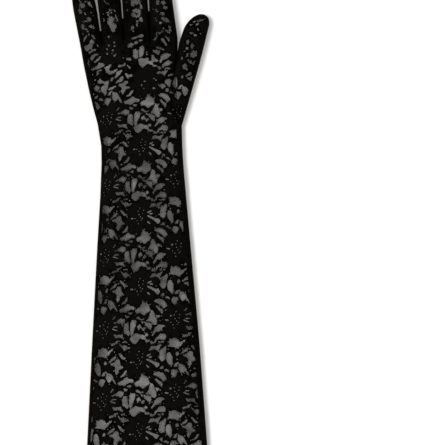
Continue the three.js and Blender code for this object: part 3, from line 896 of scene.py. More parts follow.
THUMB_OPENINGS = (
    Oval(436, 1.4, 5.4, 2.5, 20),
    Oval(434.7, -3.5, 1.8, 1.8),
    Oval(432, -6.1, 2.7, 1.3, 10),
    Oval(432.4, -0.2, 2, 2.7),
    Oval(427.6, 2.1, 1.7, 1.7),
    Oval(424.4, 5.6, 1.2, 1.2),
    Oval(424.4, -2.9, 2.7, 1.4),
    Oval(422.6, 1.2, 2.7, 1.8),
    Oval(416.3, -3.8, 2.7, 4),
    Oval(412.6, 0.9, 2.5, 4.7, 20),
    Oval(410.8, -3.2, 2.3, 1.8),
    Oval(405.6, 4, 5.6, 5.9),
    Oval(404.7, -1.7, 1.6, 3.6),
    Oval(402, -6, 1.4, 2.2),
    Oval(407.9, -4.9, 1.1, 1.1),
    Oval(398.7, 2.4, 5.6, 1.6, -38),
    Oval(397.6, 5.9, 1.4, 3.6),
    Oval(394.7, -1.4, 3.1, 4.5, 20),
    Oval(392, 1.1, 1.8, 2.5),
    Oval(386.2, 4.6, 3.6, 4.1),
    Oval(386, 9.3, 0.9, 6.3, 10),
    Oval(382.4, 3.1, 1.3, 1.8),
    Oval(381.5, -1.2, 1, 1),
)

FLOWER_REACH = 22.0  # how far from its middle a flower is charted
PETAL_RELIEF = 0.86  # width of a petal's relief, as a share of the petal
PETAL_LENGTH = 1.35  # length of a petal's oval tip, in widths
NECK_WIDTH = 0.92  # width of a petal's neck, as a share of the petal
LEAF_FULLNESS = 0.75  # power of the sine that shapes a leaf
SMALL_OPENING = 2.7  # finger openings up to this size hold no net
TEETH_PER_REPEAT = ((25, 14), (-13, 25))  # lobes across and along, for both rows
TEETH_MEAN = 1.27  # mean height of both rows of lobes
TOOTH = 0.4  # height of the lobes round the repeat's gaps
FINGER_TOOTH = 0.9  # height of the lobes round the fingers' openings
FINGER_CUSPS = 1.3  # how much closer the lobes stand there
EYELET_PITCH = 2.9
EYELET_RADIUS = 0.5
EYELET_SLANT = 28.0  # degrees
EYELET_WAVES = (2.4, 3.7, 1.3)  # waves that gather the eyelets into groups
EYELET_GROUPING = -0.5  # height of those waves above which eyelets stay
EYELET_RIM = (0.5, 4.0)  # eyelets keep between these distances from a gap
FINGERS_START = 427.0  # from here up the fingers have only their own openings
SHARPNESS = 0.12  # how much an outline's points are drawn out
OVAL_GROWTH = 1.05  # size of a finger's openings, as a share of what the tables give
REPEATS_NEAR = range(-2, 3)  # repeats round the table that can touch it
SHAPE_MARGIN = 3.0  # how far round a shape its signed distance is charted
SPECK_REACH = 2.0  # the same for a speck, from its middle

# Flowers on the glove: plan x and y, then the repeats across and along where each is charted.
FLOWERS = (
    (0.5, 381.3, 0.0, 5.0),
    (-3.2, 322.2, 0.0, 4.0),
    (-5.0, 260.5, 0.0, 3.0),
    (-5.0, 197.4, 0.0, 2.0),
    (-5.8, 132.2, 0.0, 1.0),
    (-6.4, 67.9, 0.0, 0.0),
    (-31.0, 408.4, -0.5, 5.5),
    (-33.3, 346.2, -0.5, 4.5),
    (-35.1, 285.7, -0.5, 3.5),
    (-35.6, 223.1, -0.5, 2.5),
    (-36.4, 158.6, -0.5, 1.5),
    (-38.2, 94.0, -0.5, 0.5),
    (28.8, 351.8, 0.5, 4.5),
    (27.3, 292.9, 0.5, 3.5),
    (28.7, 231.1, 0.5, 2.5),
    (27.3, 167.5, 0.5, 1.5),
    (27.1, 102.7, 0.5, 0.5),
)


def cusps(x: Array, y: Array) -> Array:
    """Two slanting rows of rounded lobes with cusps between them, about 0 on average.

    Each row is the size of a sine; a whole number of lobes goes to the lace's repeat.

    Args:
        x: Plan or chart x.
        y: Plan or chart y.

    Returns:
        Heights of the lobes, about -1.3 to 0.7.
    """
    height = np.zeros(x.shape)
    for across, along in TEETH_PER_REPEAT:
        height += np.abs(np.sin(np.pi * (across * x / REPEAT_ACROSS + along * y / REPEAT_ALONG)))
    return height - TEETH_MEAN


def eyelets(x: Array, y: Array) -> Array:
    """Signed distance of small round holes on a slanting lattice, in loose groups.

    Args:
        x: Plan x.
        y: Plan y.

    Returns:
        Signed distances, positive in a hole.
    """
    slant = math.radians(EYELET_SLANT)
    first, second, cross = EYELET_WAVES
    a = (x * math.cos(slant) + y * math.sin(slant)) / EYELET_PITCH
    b = (y * math.cos(slant) - x * math.sin(slant)) / EYELET_PITCH
    away = EYELET_PITCH * np.hypot(a - np.round(a), b - np.round(b))
    grouped = np.sin(first * np.round(a)) + np.sin(second * np.round(b) + cross * np.round(a))
    return np.where(grouped > EYELET_GROUPING, EYELET_RADIUS - away, -EYELET_PITCH)


def corners_of(steps: tuple[int, ...]) -> Array:
    """Turns one outline of a table into rows of x and y in millimetres."""
    return np.cumsum(np.reshape(steps, (-1, 2)), axis=0) / 10


def outline_distance(corners: Array) -> Field:
    """Signed distance of a closed outline.

    It is the least distance to a side, counted as inside where a ray to the right crosses an odd
    number of sides.

    Args:
        corners: The corners in order, one per row.

    Returns:
        A function of the distances from the outline's own place.
    """
    x0, y0 = corners.T
    run, rise = (np.roll(corners, -1, axis=0) - corners).T
    divisor = np.where(rise == 0, TINY, rise)

    def distance(x: Array, y: Array) -> Array:
        """Signed distance of one outline.

        Args:
            x: Distances across from its place.
            y: Distances along.

        Returns:
            Signed distances, positive inside.
        """
        dx, dy = x[:, None] - x0, y[:, None] - y0
        share = np.clip((dx * run + dy * rise) / (run**2 + rise**2), 0.0, 1.0)
        away = np.hypot(dx - share * run, dy - share * rise).min(axis=1)
        crossed = (dy < 0) != (dy < rise)
        inside = (crossed & (dx < run * dy / divisor)).sum(axis=1) % 2 == 1
        return np.where(inside, away, -away)

    return distance


def between_four(table: Array, column: Array, line: Array) -> Array:
    """Reads a table between its four nearest places.

    Args:
        table: The table, line by line.
        column: Where to read across, in columns from the first.
        line: Where to read along, in lines from the first.

    Returns:
        The values there.
    """
    i, j = column.astype(int), line.astype(int)
    s, t = column - i, line - j
    low = table[j, i] * (1 - s) + table[j, i + 1] * s
    high = table[j + 1, i] * (1 - s) + table[j + 1, i + 1] * s
    return low * (1 - t) + high * t


class LaceChart:
    """One repeat of the lace, worked out once as tables of signed distances and then looked up."""

    def __init__(self, step: float = 0.25) -> None:
        """Charts every element of the repeat.

        Args:
            step: Spacing of the tables, in millimetres.
        """
        self.columns = round(REPEAT_ACROSS / step)
        self.lines = round(REPEAT_ALONG / step)
        across = (np.arange(self.columns) + 0.5) * REPEAT_ACROSS / self.columns
        along = (np.arange(self.lines) + 0.5) * REPEAT_ALONG / self.lines
        self.x, self.y = np.meshgrid(across, along)
        self.motif = np.full(self.x.shape, FAR_OUT)
        self._open_gaps()
        self._work_sprays()
        self._work_flowers()
        tables = (self.motif, self.cloth, self.netted)
        self.motif, self.cloth, self.netted = (np.pad(one, (0, 2), mode="wrap") for one in tables)

    def _put(
        self,
        table: Array,
        x: float,
        y: float,
        reach: float,
        shape: Field,
        cut: bool = False,
    ) -> None:
        """Adds or cuts a shape at every repeat of a place that touches the table.

        Args:
            table: The table that it goes into.
            x: Place across.
            y: Place along.
            reach: Half the side of the square that the shape can touch.
            shape: Signed distance of the shape from its own place.
            cut: Whether the shape is an opening.
        """
        for i in REPEATS_NEAR:
            for j in REPEATS_NEAR:
                away_x = self.x - (x + i * REPEAT_ACROSS)
                away_y = self.y - (y + j * REPEAT_ALONG)
                near = (np.abs(away_x) < reach) & (np.abs(away_y) < reach)
                if not near.any():
                    continue
                value = shape(away_x[near], away_y[near])
                old = table[near]
                table[near] = np.minimum(old, -value) if cut else np.maximum(old, value)

    def _open_gaps(self) -> None:
        """Charts the gaps between the flowers and leaves: the cloth is all that they leave."""
        gaps = np.full(self.x.shape, FAR_OUT)
        for steps in GAPS.values():
            self._put_outline(gaps, steps)
        self.netted = -gaps
        self.cloth = self.netted + TOOTH * cusps(self.x, self.y)

    def _put_outline(self, table: Array, steps: tuple[int, ...], cut: bool = False) -> None:
        """Adds or cuts a closed outline, its points drawn out and its bays drawn in a little.

        Args:
            table: The table that it goes into.
            steps: The outline, as it stands in GAPS or CUTS.
            cut: Whether it is an opening in the table's shapes.
        """
        corners = corners_of(steps)
        middle = corners.mean(axis=0)
        spoke = corners - middle
        length = np.linalg.norm(spoke, axis=1, keepdims=True)
        spoke *= (length / length.mean()) ** SHARPNESS
        self._put(table, *middle, np.abs(spoke).max() + SHAPE_MARGIN, outline_distance(spoke), cut)

    def _work_sprays(self) -> None:
        """Charts the raised leaves, stems, buds and shells between the flowers."""
        leaves = tuple(leaf._replace(fullness=LEAF_FULLNESS) for leaf in LEAVES)
        for blade in leaves + STEMS:
            reach = blade.length + SHAPE_MARGIN
            self._put(self.motif, blade.x0, blade.y0, reach, blade.distance)
        for bud in BUDS + SHELLS:
            self._put(self.motif, bud.x, bud.y, bud.radius + SHAPE_MARGIN, bud.distance)

    def _work_flowers(self) -> None:
        """Charts the two flowers of the repeat, half a repeat apart both ways."""
        for share in (0.0, 0.5):
            x, y = share * REPEAT_ACROSS, share * REPEAT_ALONG
            self._put(self.cloth, x, y, FLOWER_REACH, Spot(x, y, HEART_RADIUS).distance)
            for petal in PETALS:
                slim = petal._replace(half=petal.half * PETAL_RELIEF)
                self._put(self.motif, x, y, FLOWER_REACH, slim.distance)
            for steps in CUTS.values():
                self._put_outline(self.cloth, steps, cut=True)
            for speck_x, speck_y in SPECKS:
                speck = Spot(x + speck_x, y + speck_y, SPECK_RADIUS)
                self._put(self.cloth, speck.x, speck.y, SPECK_REACH, speck.distance, cut=True)

    def at(self, table: Array, across: Array, along: Array) -> Array:
        """Looks a table up.

        Args:
            table: The cloth, the motif or the netted gaps.
            across: Places across, any number of repeats away.
            along: Places along.

        Returns:
            Signed distances in millimetres, negative in a gap.
        """
        column = (across / REPEAT_ACROSS * self.columns - 0.5) % self.columns
        line = (along / REPEAT_ALONG * self.lines - 0.5) % self.lines
        return between_four(table, column, line)


class FlowerPlacing:
    """Carries plan places to the chart, so that each flower lands where it lies on the glove."""

    def __init__(self) -> None:
        """Fits a thin-plate spline, r^2 log r, through the flowers' centres."""
        table = np.array(FLOWERS)
        self.knots = table[:, :2]
        target = table[:, 2:] * [REPEAT_ACROSS, REPEAT_ALONG]
        count = len(table)
        flat = np.column_stack([np.ones(count), self.knots])
        system = np.zeros((count + 3, count + 3))
        system[:count, :count] = self._bend(self.knots)
        system[:count, count:] = flat
        system[count:, :count] = flat.T
        self.weights = np.linalg.solve(system, np.vstack([target, np.zeros((3, 2))]))

    def _bend(self, places: Array) -> Array:
        """The spline's r^2 log r between each place and each knot.

        Args:
            places: Plan places with a last axis of x, y.

        Returns:
            The values, with one more axis for the knots.
        """
        away = places[..., None, :] - self.knots
        square = np.maximum((away**2).sum(-1), TINY)
        return 0.5 * square * np.log(square)

    def to_chart(self, x: Array, y: Array) -> tuple[Array, Array]:
        """Reads the chart's place for each plan place.

        Args:
            x: Plan x.
            y: Plan y.

        Returns:
            Places across and along the chart, in millimetres.
        """
        places = np.stack([x, y], axis=-1)
        count = len(self.knots)
        out = self._bend(places) @ self.weights[:count]
        out += self.weights[count] + places @ self.weights[count + 1 :]
        return out[..., 0], out[..., 1]


def smooth_step(low: float, high: float, value: Array) -> Array:
    """Rises from 0 to 1 between two values, flat at both ends, as 3s^2 - 2s^3."""
    share = np.clip((value - low) / (high - low), 0.0, 1.0)
    return share * share * (3 - 2 * share)


@dataclass(frozen=True)
class FingerOpenings:
    """The small openings along one finger, and the same again further up as far as the tip.

    Openings between `low` and the fingers' start are left to the hand's chart. A shift past the tip
    leaves out the second set.
    """

    tube: Tube
    ovals: tuple[Oval, ...]
    shift: float
    low: float = 400.0

    def at(self, x: Array, y: Array, largest: float = math.inf) -> Array:
        """Signed distance of the openings.

        Args:
            x: Plan x.
            y: Plan y.
            largest: Only openings up to this size count.

        Returns:
            Signed distances, positive in an opening.
        """
        every = np.full(x.shape, FAR_OUT)
        on_finger = self.tube.side_distance(x, y) > 0
        if not on_finger.any():
            return every
        up = y[on_finger]
        off = x[on_finger] - self.tube.sections(up).centre
        found = np.full(up.shape, FAR_OUT)
        for oval in self.ovals:
            if max(oval.wide, oval.long) > largest:
                continue
            cos, sin = math.cos(math.radians(oval.turn)), math.sin(math.radians(oval.turn))
            half_wide, half_long = oval.wide / 2 * OVAL_GROWTH, oval.long / 2 * OVAL_GROWTH
            for shift in (0.0, self.shift):
                if shift == 0.0 and self.low < oval.y < FINGERS_START:
                    continue
                dx, dy = off - oval.off, up - oval.y - shift
                across, along = dx * cos + dy * sin, -dx * sin + dy * cos
                near = 1 - np.hypot(across / half_wide, along / half_long)
                found = np.maximum(found, near * min(half_wide, half_long))
        every[on_finger] = found
        return every


class HandChart:
    """Openings of the hand, worked out once as tables of signed distances."""

    low: Corner = (-64.0, 364.0)
    high: Corner = (44.0, 434.0)

    def __init__(self, step: float = 0.25) -> None:
        """Charts the gaps and the specks.

        Args:
            step: Spacing of the tables, in millimetres.
        """
        self.step = step
        self.x, self.y = np.meshgrid(*(np.arange(a, b, step) for a, b in zip(self.low, self.high)))
        self.gaps = np.full(self.x.shape, FAR_OUT)
        self.specks = np.full(self.x.shape, FAR_OUT)
        for steps in HAND_GAPS:
            corners = corners_of(steps)
            middle = corners.mean(axis=0)
            reach = np.abs(corners - middle).max() + SHAPE_MARGIN
            near = (np.abs(self.x - middle[0]) < reach) & (np.abs(self.y - middle[1]) < reach)
            inside = outline_distance(corners)(self.x[near], self.y[near])
            self.gaps[near] = np.maximum(self.gaps[near], inside)
        for spot in HAND_SPECKS:
            inside = spot.distance(self.x - spot.x, self.y - spot.y)
            self.specks = np.maximum(self.specks, inside)

    def at(self, table: Array, x: Array, y: Array) -> Array:
        """Reads a table at plan places.

        Args:
            table: The gaps or the specks.
            x: Plan x.
            y: Plan y.

        Returns:
            Signed distances, positive in an opening, and far out away from the hand.
        """
        column, line = (x - self.low[0]) / self.step, (y - self.low[1]) / self.step
        lines, columns = table.shape
        on_hand = (column >= 0) & (column < columns - 1) & (line >= 0) & (line < lines - 1)
        found = np.full(np.broadcast(x, y).shape, FAR_OUT)
        found[on_hand] = between_four(table, column[on_hand], line[on_hand])
        return found


@dataclass
class LaceField:
    """Where the back of the glove is worked and where it is open."""

    chart: LaceChart
    placing: FlowerPlacing
    hand: HandChart
    fingers: tuple[FingerOpenings, ...]
    thumb_openings: FingerOpenings
    repeat_end: float = 375.0
    hand_start: float = 383.0
    thumb_base: float = 384.0
    thumb_start: float = 396.0
    closure: float = 8.0

    def arm(self, x: Array, y: Array) -> Array:
        """Lace of the arm and hand, with the fingers' own openings above.

        Args:
            x: Plan x.
            y: Plan y.

        Returns:
            Signed distances, positive on the lace.
        """
        place = self.placing.to_chart(x, y)
        cloth = self.chart.at(self.chart.cloth, *place)
        from_gap = self.chart.at(self.chart.netted, *place)
        rim = np.minimum(from_gap - EYELET_RIM[0], EYELET_RIM[1] - from_gap)
        ground = np.minimum(rim, -self.chart.at(self.chart.motif, *place))
        cloth = np.minimum(cloth, -np.minimum(eyelets(x, y), ground))
        openings = np.max([finger.at(x, y) for finger in self.fingers], axis=0)
        openings = openings - self._finger_teeth(x, y)
        hand = self.hand.at(self.hand.gaps, x, y) - TOOTH * cusps(x, y)
        openings = np.maximum(np.maximum(openings, hand), self.hand.at(self.hand.specks, x, y))
        return np.minimum(cloth + self._closing(y), -openings)

    def _closing(self, y: Array) -> Array:
        """What closes the repeat's gaps from the knuckles on, where the hand has its own."""
        return self.closure * smooth_step(self.repeat_end, self.hand_start, y)

    @staticmethod
    def _finger_teeth(x: Array, y: Array) -> Array:
        """The lobes round the openings of the fingers and the thumb."""
        return FINGER_TOOTH * cusps(FINGER_CUSPS * x, FINGER_CUSPS * y)

    def motif(self, x: Array, y: Array) -> Array:
        """Signed distance of the raised petals, leaves and stems."""
        return self.chart.at(self.chart.motif, *self.placing.to_chart(x, y))

    def bare(self, x: Array, y: Array) -> Array:
        """Positive in the smallest openings of hand, fingers and thumb, which hold no net."""
        every = [finger.at(x, y, SMALL_OPENING) for finger in self.fingers + (self.thumb_openings,)]
        return np.max([*every, self.hand.at(self.hand.specks, x, y)], axis=0)

    def thumb(self, x: Array, y: Array) -> Array:
        """Lace of the thumb: its own openings, and the arm's pattern at its base.

        Args:
            x: Plan x.
            y: Plan y.

        Returns:
            Signed distances, positive on the lace.
        """
        cloth = self.chart.at(self.chart.cloth, *self.placing.to_chart(x, y))
        share = smooth_step(self.thumb_base, self.thumb_start, y)
        openings = self.thumb_openings.at(x, y) - self._finger_teeth(x, y)
        return cloth * (1 - share) - openings * share

    def netted(self, x: Array, y: Array) -> Array:
        """Negative in the gaps that hold net, so not in the flowers' slits and specks."""
        repeat = self.chart.at(self.chart.netted, *self.placing.to_chart(x, y)) + self._closing(y)
        return np.minimum(repeat, -self.hand.at(self.hand.gaps, x, y))


def mesh_object(name: str, points: Array, faces: Array) -> bpy.types.Object:
    """Makes a smooth-shaded mesh object at the origin from whole arrays.

    Args:
        name: Name of the piece.
        points: Its points in metres, one per row.
        faces: Corner numbers, three or four to a row.

    Returns:
        The linked object.
    """
    mesh = bpy.data.meshes.new(name)
    sides = faces.shape[1]
    mesh.vertices.add(len(points))
    mesh.vertices.foreach_set("co", np.ascontiguousarray(points, np.float32).ravel())
    mesh.loops.add(faces.size)
    mesh.loops.foreach_set("vertex_index", np.ascontiguousarray(faces, np.int32).ravel())
    mesh.polygons.add(len(faces))
    mesh.polygons.foreach_set("loop_start", np.arange(0, faces.size, sides, dtype=np.int32))
    mesh.polygons.foreach_set("use_smooth", np.full(len(faces), True))
    mesh.update(calc_edges=True)
    mesh.validate()
    piece = bpy.data.objects.new(name, mesh)
    bpy.context.scene.collection.objects.link(piece)
    return piece


def keep_used(points: Array, faces: Array) -> Solid:
    """Drops the points that no face uses, and renumbers the faces."""
    used, numbers = np.unique(faces, return_inverse=True)
    return points[used], numbers.reshape(faces.shape)


class CutCloth:
    """A flat pattern piece cut out along a signed-distance field, as triangles over the plan."""

    nearest = 0.12  # share of a grid edge that a crossing keeps from its ends
    clearance = 0.9  # distance of the points inside from the outline, in grid steps
    merged = 1e-6  # distance at which two points are taken for one

    def __init__(self, field: Field, box: Box, step: float, inner: float) -> None:
        """Cuts the cloth.

        The field is read on a grid. Where it changes sign along a grid edge, the outline crosses
        there at the linear share. The crossings are joined cell by cell, points are strewn inside on
        a hexagonal grid, and all of them are triangulated with the outline kept.

        Args:
            field: Signed distance, positive on the cloth.
            box: Least x and y, then greatest x and y.
            step: Spacing of the outline.
            inner: Spacing of the points inside.
        """
        self.x, self.y = (np.arange(low, high + step, step) for low, high in zip(*box))
        self.step = step
        grid_x, grid_y = np.meshgrid(self.x, self.y)
        self.value = field(grid_x, grid_y)
        outline, joins = self.outline()
        inside = self._strewn(inner)
        points = np.vstack([outline, inside])
        places = [Vector(p) for p in points.tolist()]
        found = delaunay_2d_cdt(places, joins.tolist(), [], 0, self.merged)
        plan = np.array([tuple(p) for p in found[0]])
        faces = np.array([f for f in found[2] if len(f) == 3])
        middle = plan[faces].mean(axis=1)
        self.plan, self.faces = keep_used(plan, faces[self.read(*middle.T) > 0])

    def read(self, x: Array, y: Array) -> Array:
        """Reads the field from its grid.

        Args:
            x: Plan x.
            y: Plan y.

        Returns:
            Signed distances, positive on the cloth.
        """
        column = np.clip((x - self.x[0]) / self.step, 0, len(self.x) - 1.001)
        line = np.clip((y - self.y[0]) / self.step, 0, len(self.y) - 1.001)
        return between_four(self.value, column, line)

    def outline(self) -> tuple[Array, Array]:
        """Finds the crossings of grid edges and joins them across each cell.

        Returns:
            The crossings, and pairs of their numbers.
        """
        value, worked = self.value, self.value > 0
        flat = worked[:, :-1] != worked[:, 1:]
        upright = worked[:-1] != worked[1:]
        number_flat = np.full(flat.shape, -1)
        number_upright = np.full(upright.shape, -1)
        number_flat[flat] = np.arange(flat.sum())
        number_upright[upright] = flat.sum() + np.arange(upright.sum())
        ends = self.nearest, 1 - self.nearest
        j, i = np.nonzero(flat)
        share = np.clip(value[j, i] / (value[j, i] - value[j, i + 1]), *ends)
        first = np.column_stack([self.x[i] + share * self.step, self.y[j]])
        j, i = np.nonzero(upright)
        share = np.clip(value[j, i] / (value[j, i] - value[j + 1, i]), *ends)
        second = np.column_stack([self.x[i], self.y[j] + share * self.step])
        bottom, top = number_flat[:-1], number_flat[1:]
        left, right = number_upright[:, :-1], number_upright[:, 1:]
        code = worked[:-1, :-1] * 1 + worked[:-1, 1:] * 2 + worked[1:, 1:] * 4 + worked[1:, :-1] * 8
        crossed = (
            ((1, 14), left, bottom),
            ((2, 13), bottom, right),
            ((4, 11), right, top),
            ((8, 7), top, left),
            ((3, 12), left, right),
            ((6, 9), bottom, top),
            ((5,), left, bottom),
            ((5,), right, top),
            ((10,), bottom, right),
            ((10,), top, left),
        )
        joins = []
        for cases, a, b in crossed:
            for case in cases:
                here = code == case
                joins.append(np.column_stack([a[here], b[here]]))
        return np.vstack([first, second]), np.vstack(joins)

    def _strewn(self, spacing: float) -> Array:
        """Strews points over the cloth, well inside its outline.

        Args:
            spacing: Distance between neighbours on the hexagonal grid.

        Returns:
            Plan points, one per row.
        """
        across = np.arange(self.x[0], self.x[-1], spacing)
        along = np.arange(self.y[0], self.y[-1], spacing * math.sqrt(3) / 2)
        x, y = np.meshgrid(across, along)
        x = x + (np.arange(len(along)) % 2)[:, None] * spacing / 2
        x, y = x.ravel(), y.ravel()
        keep = self.read(x, y) > self.step * self.clearance
        return np.column_stack([x[keep], y[keep]])


def thick_cloth(cloth: CutCloth, top: Array, under: Array) -> Solid:
    """Closes a cut cloth between its two faces.

    Args:
        cloth: The flat pattern piece.
        top: Its points on the outer face.
        under: The same points on the inner face.

    Returns:
        Points and triangles: outer face, inner face turned over, and a wall along every free edge.
    """
    faces, count = cloth.faces, len(top)
    a, b, c = top[faces[:, 0]], top[faces[:, 1]], top[faces[:, 2]]
    turned = (b[:, 0] - a[:, 0]) * (c[:, 1] - a[:, 1]) < (c[:, 0] - a[:, 0]) * (b[:, 1] - a[:, 1])
    faces = np.where(turned[:, None], faces[:, ::-1], faces)
    edges = np.vstack([faces[:, [0, 1]], faces[:, [1, 2]], faces[:, [2, 0]]])
    key = np.sort(edges, axis=1)
    _, first, counts = np.unique(key, axis=0, return_index=True, return_counts=True)
    free = edges[first[counts == 1]]
    wall = np.vstack(
        [
            np.column_stack([free[:, 1], free[:, 0], free[:, 0] + count]),
            np.column_stack([free[:, 1], free[:, 0] + count, free[:, 1] + count]),
        ]
    )
    return np.vstack([top, under]), np.vstack([faces, faces[:, ::-1] + count, wall])


def facing_out(points: Array, faces: Array) -> Array:
    """Turns a closed solid's faces over where its signed volume comes out negative.

    Args:
        points: The solid's points.
        faces: Its triangles or quads, all turned the same way.

    Returns:
        The faces, turned outwards.
    """
    a, b, c = (points[faces[:, k]] for k in range(3))
    volume = np.einsum("ij,ij->", a, np.cross(b, c))
    if faces.shape[1] == 4:
        d = points[faces[:, 3]]
        volume += np.einsum("ij,ij->", a, np.cross(c, d))
    return faces if volume > 0 else faces[:, ::-1]


def closed_sheet(outer: Array, inner: Array, ring: bool = False) -> Solid:
    """Closes two matching grids of points into one solid of quads.

    Args:
        outer: Rows by columns by x, y, z.
        inner: The same grid on the other face.
        ring: Whether the columns close on themselves.

    Returns:
        Points and quads that face outwards.
    """
    rows, columns = outer.shape[:2]
    number = np.arange(rows * columns).reshape(rows, columns)
    if ring:
        number = np.column_stack([number, number[:, 0]])
    under = number + rows * columns

    def between(a: Array, b: Array) -> Array:
        """Quads between two lines of point numbers."""
        return np.column_stack([a[:-1], b[:-1], b[1:], a[1:]])

    top = np.vstack([between(number[i], number[i + 1]) for i in range(rows - 1)])
    bottom = (top - number[0, 0] + rows * columns)[:, ::-1]
    parts = [top, bottom, between(under[0], number[0]), between(number[-1], under[-1])]
    if not ring:
        parts += [between(number[:, 0], under[:, 0]), between(under[:, -1], number[:, -1])]
    points = np.vstack([outer.reshape(-1, 3), inner.reshape(-1, 3)])
    faces = np.vstack(parts)
    return points, facing_out(points, faces)


def joined(solids: list[Solid]) -> Solid:
    """Puts several solids of the same kind of face into one pair of arrays.

    Args:
        solids: Points and faces of each.

    Returns:
        All the points, and all the faces with their numbers moved on.
    """
    shift = np.cumsum([0] + [len(points) for points, _ in solids])
    faces = [faces + first for (_, faces), first in zip(solids, shift)]
    return np.vstack([points for points, _ in solids]), np.vstack(faces)


def prism_faces(begin: Array, end: Array, ring: Array) -> Array:
    """Triangles of three-sided prisms, each a line of rings of three points.

    Args:
        begin: Number of the first point of each prism's first ring.
        end: The same of its last ring.
        ring: The same of every ring but the last ones.

    Returns:
        The triangles: three walls between neighbouring rings, and a cap at both ends.
    """
    sides = []
    for a, b in ((0, 1), (1, 2), (2, 0)):
        sides.append(np.column_stack([ring + a, ring + 3 + a, ring + 3 + b]))
        sides.append(np.column_stack([ring + a, ring + 3 + b, ring + b]))
    sides.append(np.column_stack([begin, begin + 1, begin + 2]))
    sides.append(np.column_stack([end, end + 2, end + 1]))
    return np.vstack(sides)


@dataclass(frozen=True)
class Net:
    """Fine net: straight strands in two slanting directions, laid on the cloth."""

    skin: Skin
    side: Side
    pitch: float = 1.1
    width: float = 0.23
    unevenness: float = 0.3
    gathered: float = 0.7
    gather_reach: float = 9.0
    into_gap: Field | None = None
    rim_gathered: float = 1.2
    rim_reach: float = 1.5
    slant: float = 60.0
    out: float = 0.0
    segment: float = 4.0
    sampling: float = 0.25
    shortest: float = 0.4
    waves: tuple[Corner, Corner] = ((0.31, 0.17), (-0.11, 0.23))

    def strands(self, worn: Field, box: Box) -> Solid:
        """Works the net wherever the given test is positive.

        Each strand's line is sampled closely, and its runs inside are found from the sign changes.
        A run is cut into segments of about the same length, and each joint gets three points: left
        and right of the strand under it, and one over it.

        Args:
            worn: Positive where the net shows.
            box: Least x and y, then greatest x and y.

        Returns:
            Points and triangles in plan millimetres.
        """
        solids = []
        low, high = np.array(box)
        middle = (low + high) / 2
        reach = math.hypot(*(high - low)) / 2
        for slant in (self.slant, -self.slant):
            way = np.array([math.cos(math.radians(slant)), math.sin(math.radians(slant))])
            across = np.array([-way[1], way[0]])
            along = np.arange(-reach, reach, self.sampling)
            lines = np.arange(-reach, reach, self.pitch)
            plan = middle + lines[:, None, None] * across + along[None, :, None] * way
            inside = worn(plan[..., 0], plan[..., 1]) > 0
            inside[:, 0] = inside[:, -1] = False
            change = np.diff(inside.astype(np.int8), axis=1)
            line, first = np.nonzero(change == 1)
            last = np.nonzero(change == -1)[1]
            start = middle + lines[line, None] * across + along[first + 1, None] * way
            length = (last - first - 1) * self.sampling
            keep = length > self.shortest
            solids.append(self._prisms(start[keep], length[keep], way, across))
        return joined(solids)

    def _prisms(self, start: Array, length: Array, way: Array, across: Array) -> Solid:
        """Three-sided prisms along straight runs of the plan, closed at both ends.

        Args:
            start: Where each run starts, one per row.
            length: How long each is.
            way: Direction of all of them.
            across: Direction to their left.

        Returns:
            Points and triangles that face outwards.
        """
        parts = np.maximum(1, np.ceil(length / self.segment).astype(int))
        rings = parts + 1
        run = np.repeat(np.arange(len(parts)), rings)
        first = np.concatenate([[0], np.cumsum(rings)[:-1]])
        order = np.arange(rings.sum()) - first[run]
        share = order / parts[run]
        plan = start[run] + (share * length[run])[:, None] * way
        half = self._half_width(*plan.T)
        corners = []
        for aside, lift in ((half, -half), (-half, -half), (0 * half, half)):
            corners.append(self.skin.lift(plan + aside[:, None] * across, self.out + lift, self.side))
        points = np.stack(corners, axis=1).reshape(-1, 3)
        ring = np.nonzero(order < parts[run])[0] * 3
        faces = prism_faces(first * 3, (first + parts) * 3, ring)
        return points, faces if self.side is Side.BACK else faces[:, ::-1]

    def _half_width(self, x: Array, y: Array) -> Array:
        """Half the width of a strand: uneven, and wider where the net is gathered at edges and rims.

        Args:
            x: Plan x.
            y: Plan y.

        Returns:
            Half widths.
        """
        first, second = (np.sin(across * x + along * y) for across, along in self.waves)
        inside = self.skin.side_distance(x, y)
        closer = self.gathered * (1 - smooth_step(0.0, self.gather_reach, inside))
        if self.into_gap is not None:
            from_rim = self.into_gap(x, y)
            closer += self.rim_gathered * (1 - smooth_step(0.0, self.rim_reach, from_rim))
        return self.width / 2 * (1 + self.unevenness * first * second + closer)


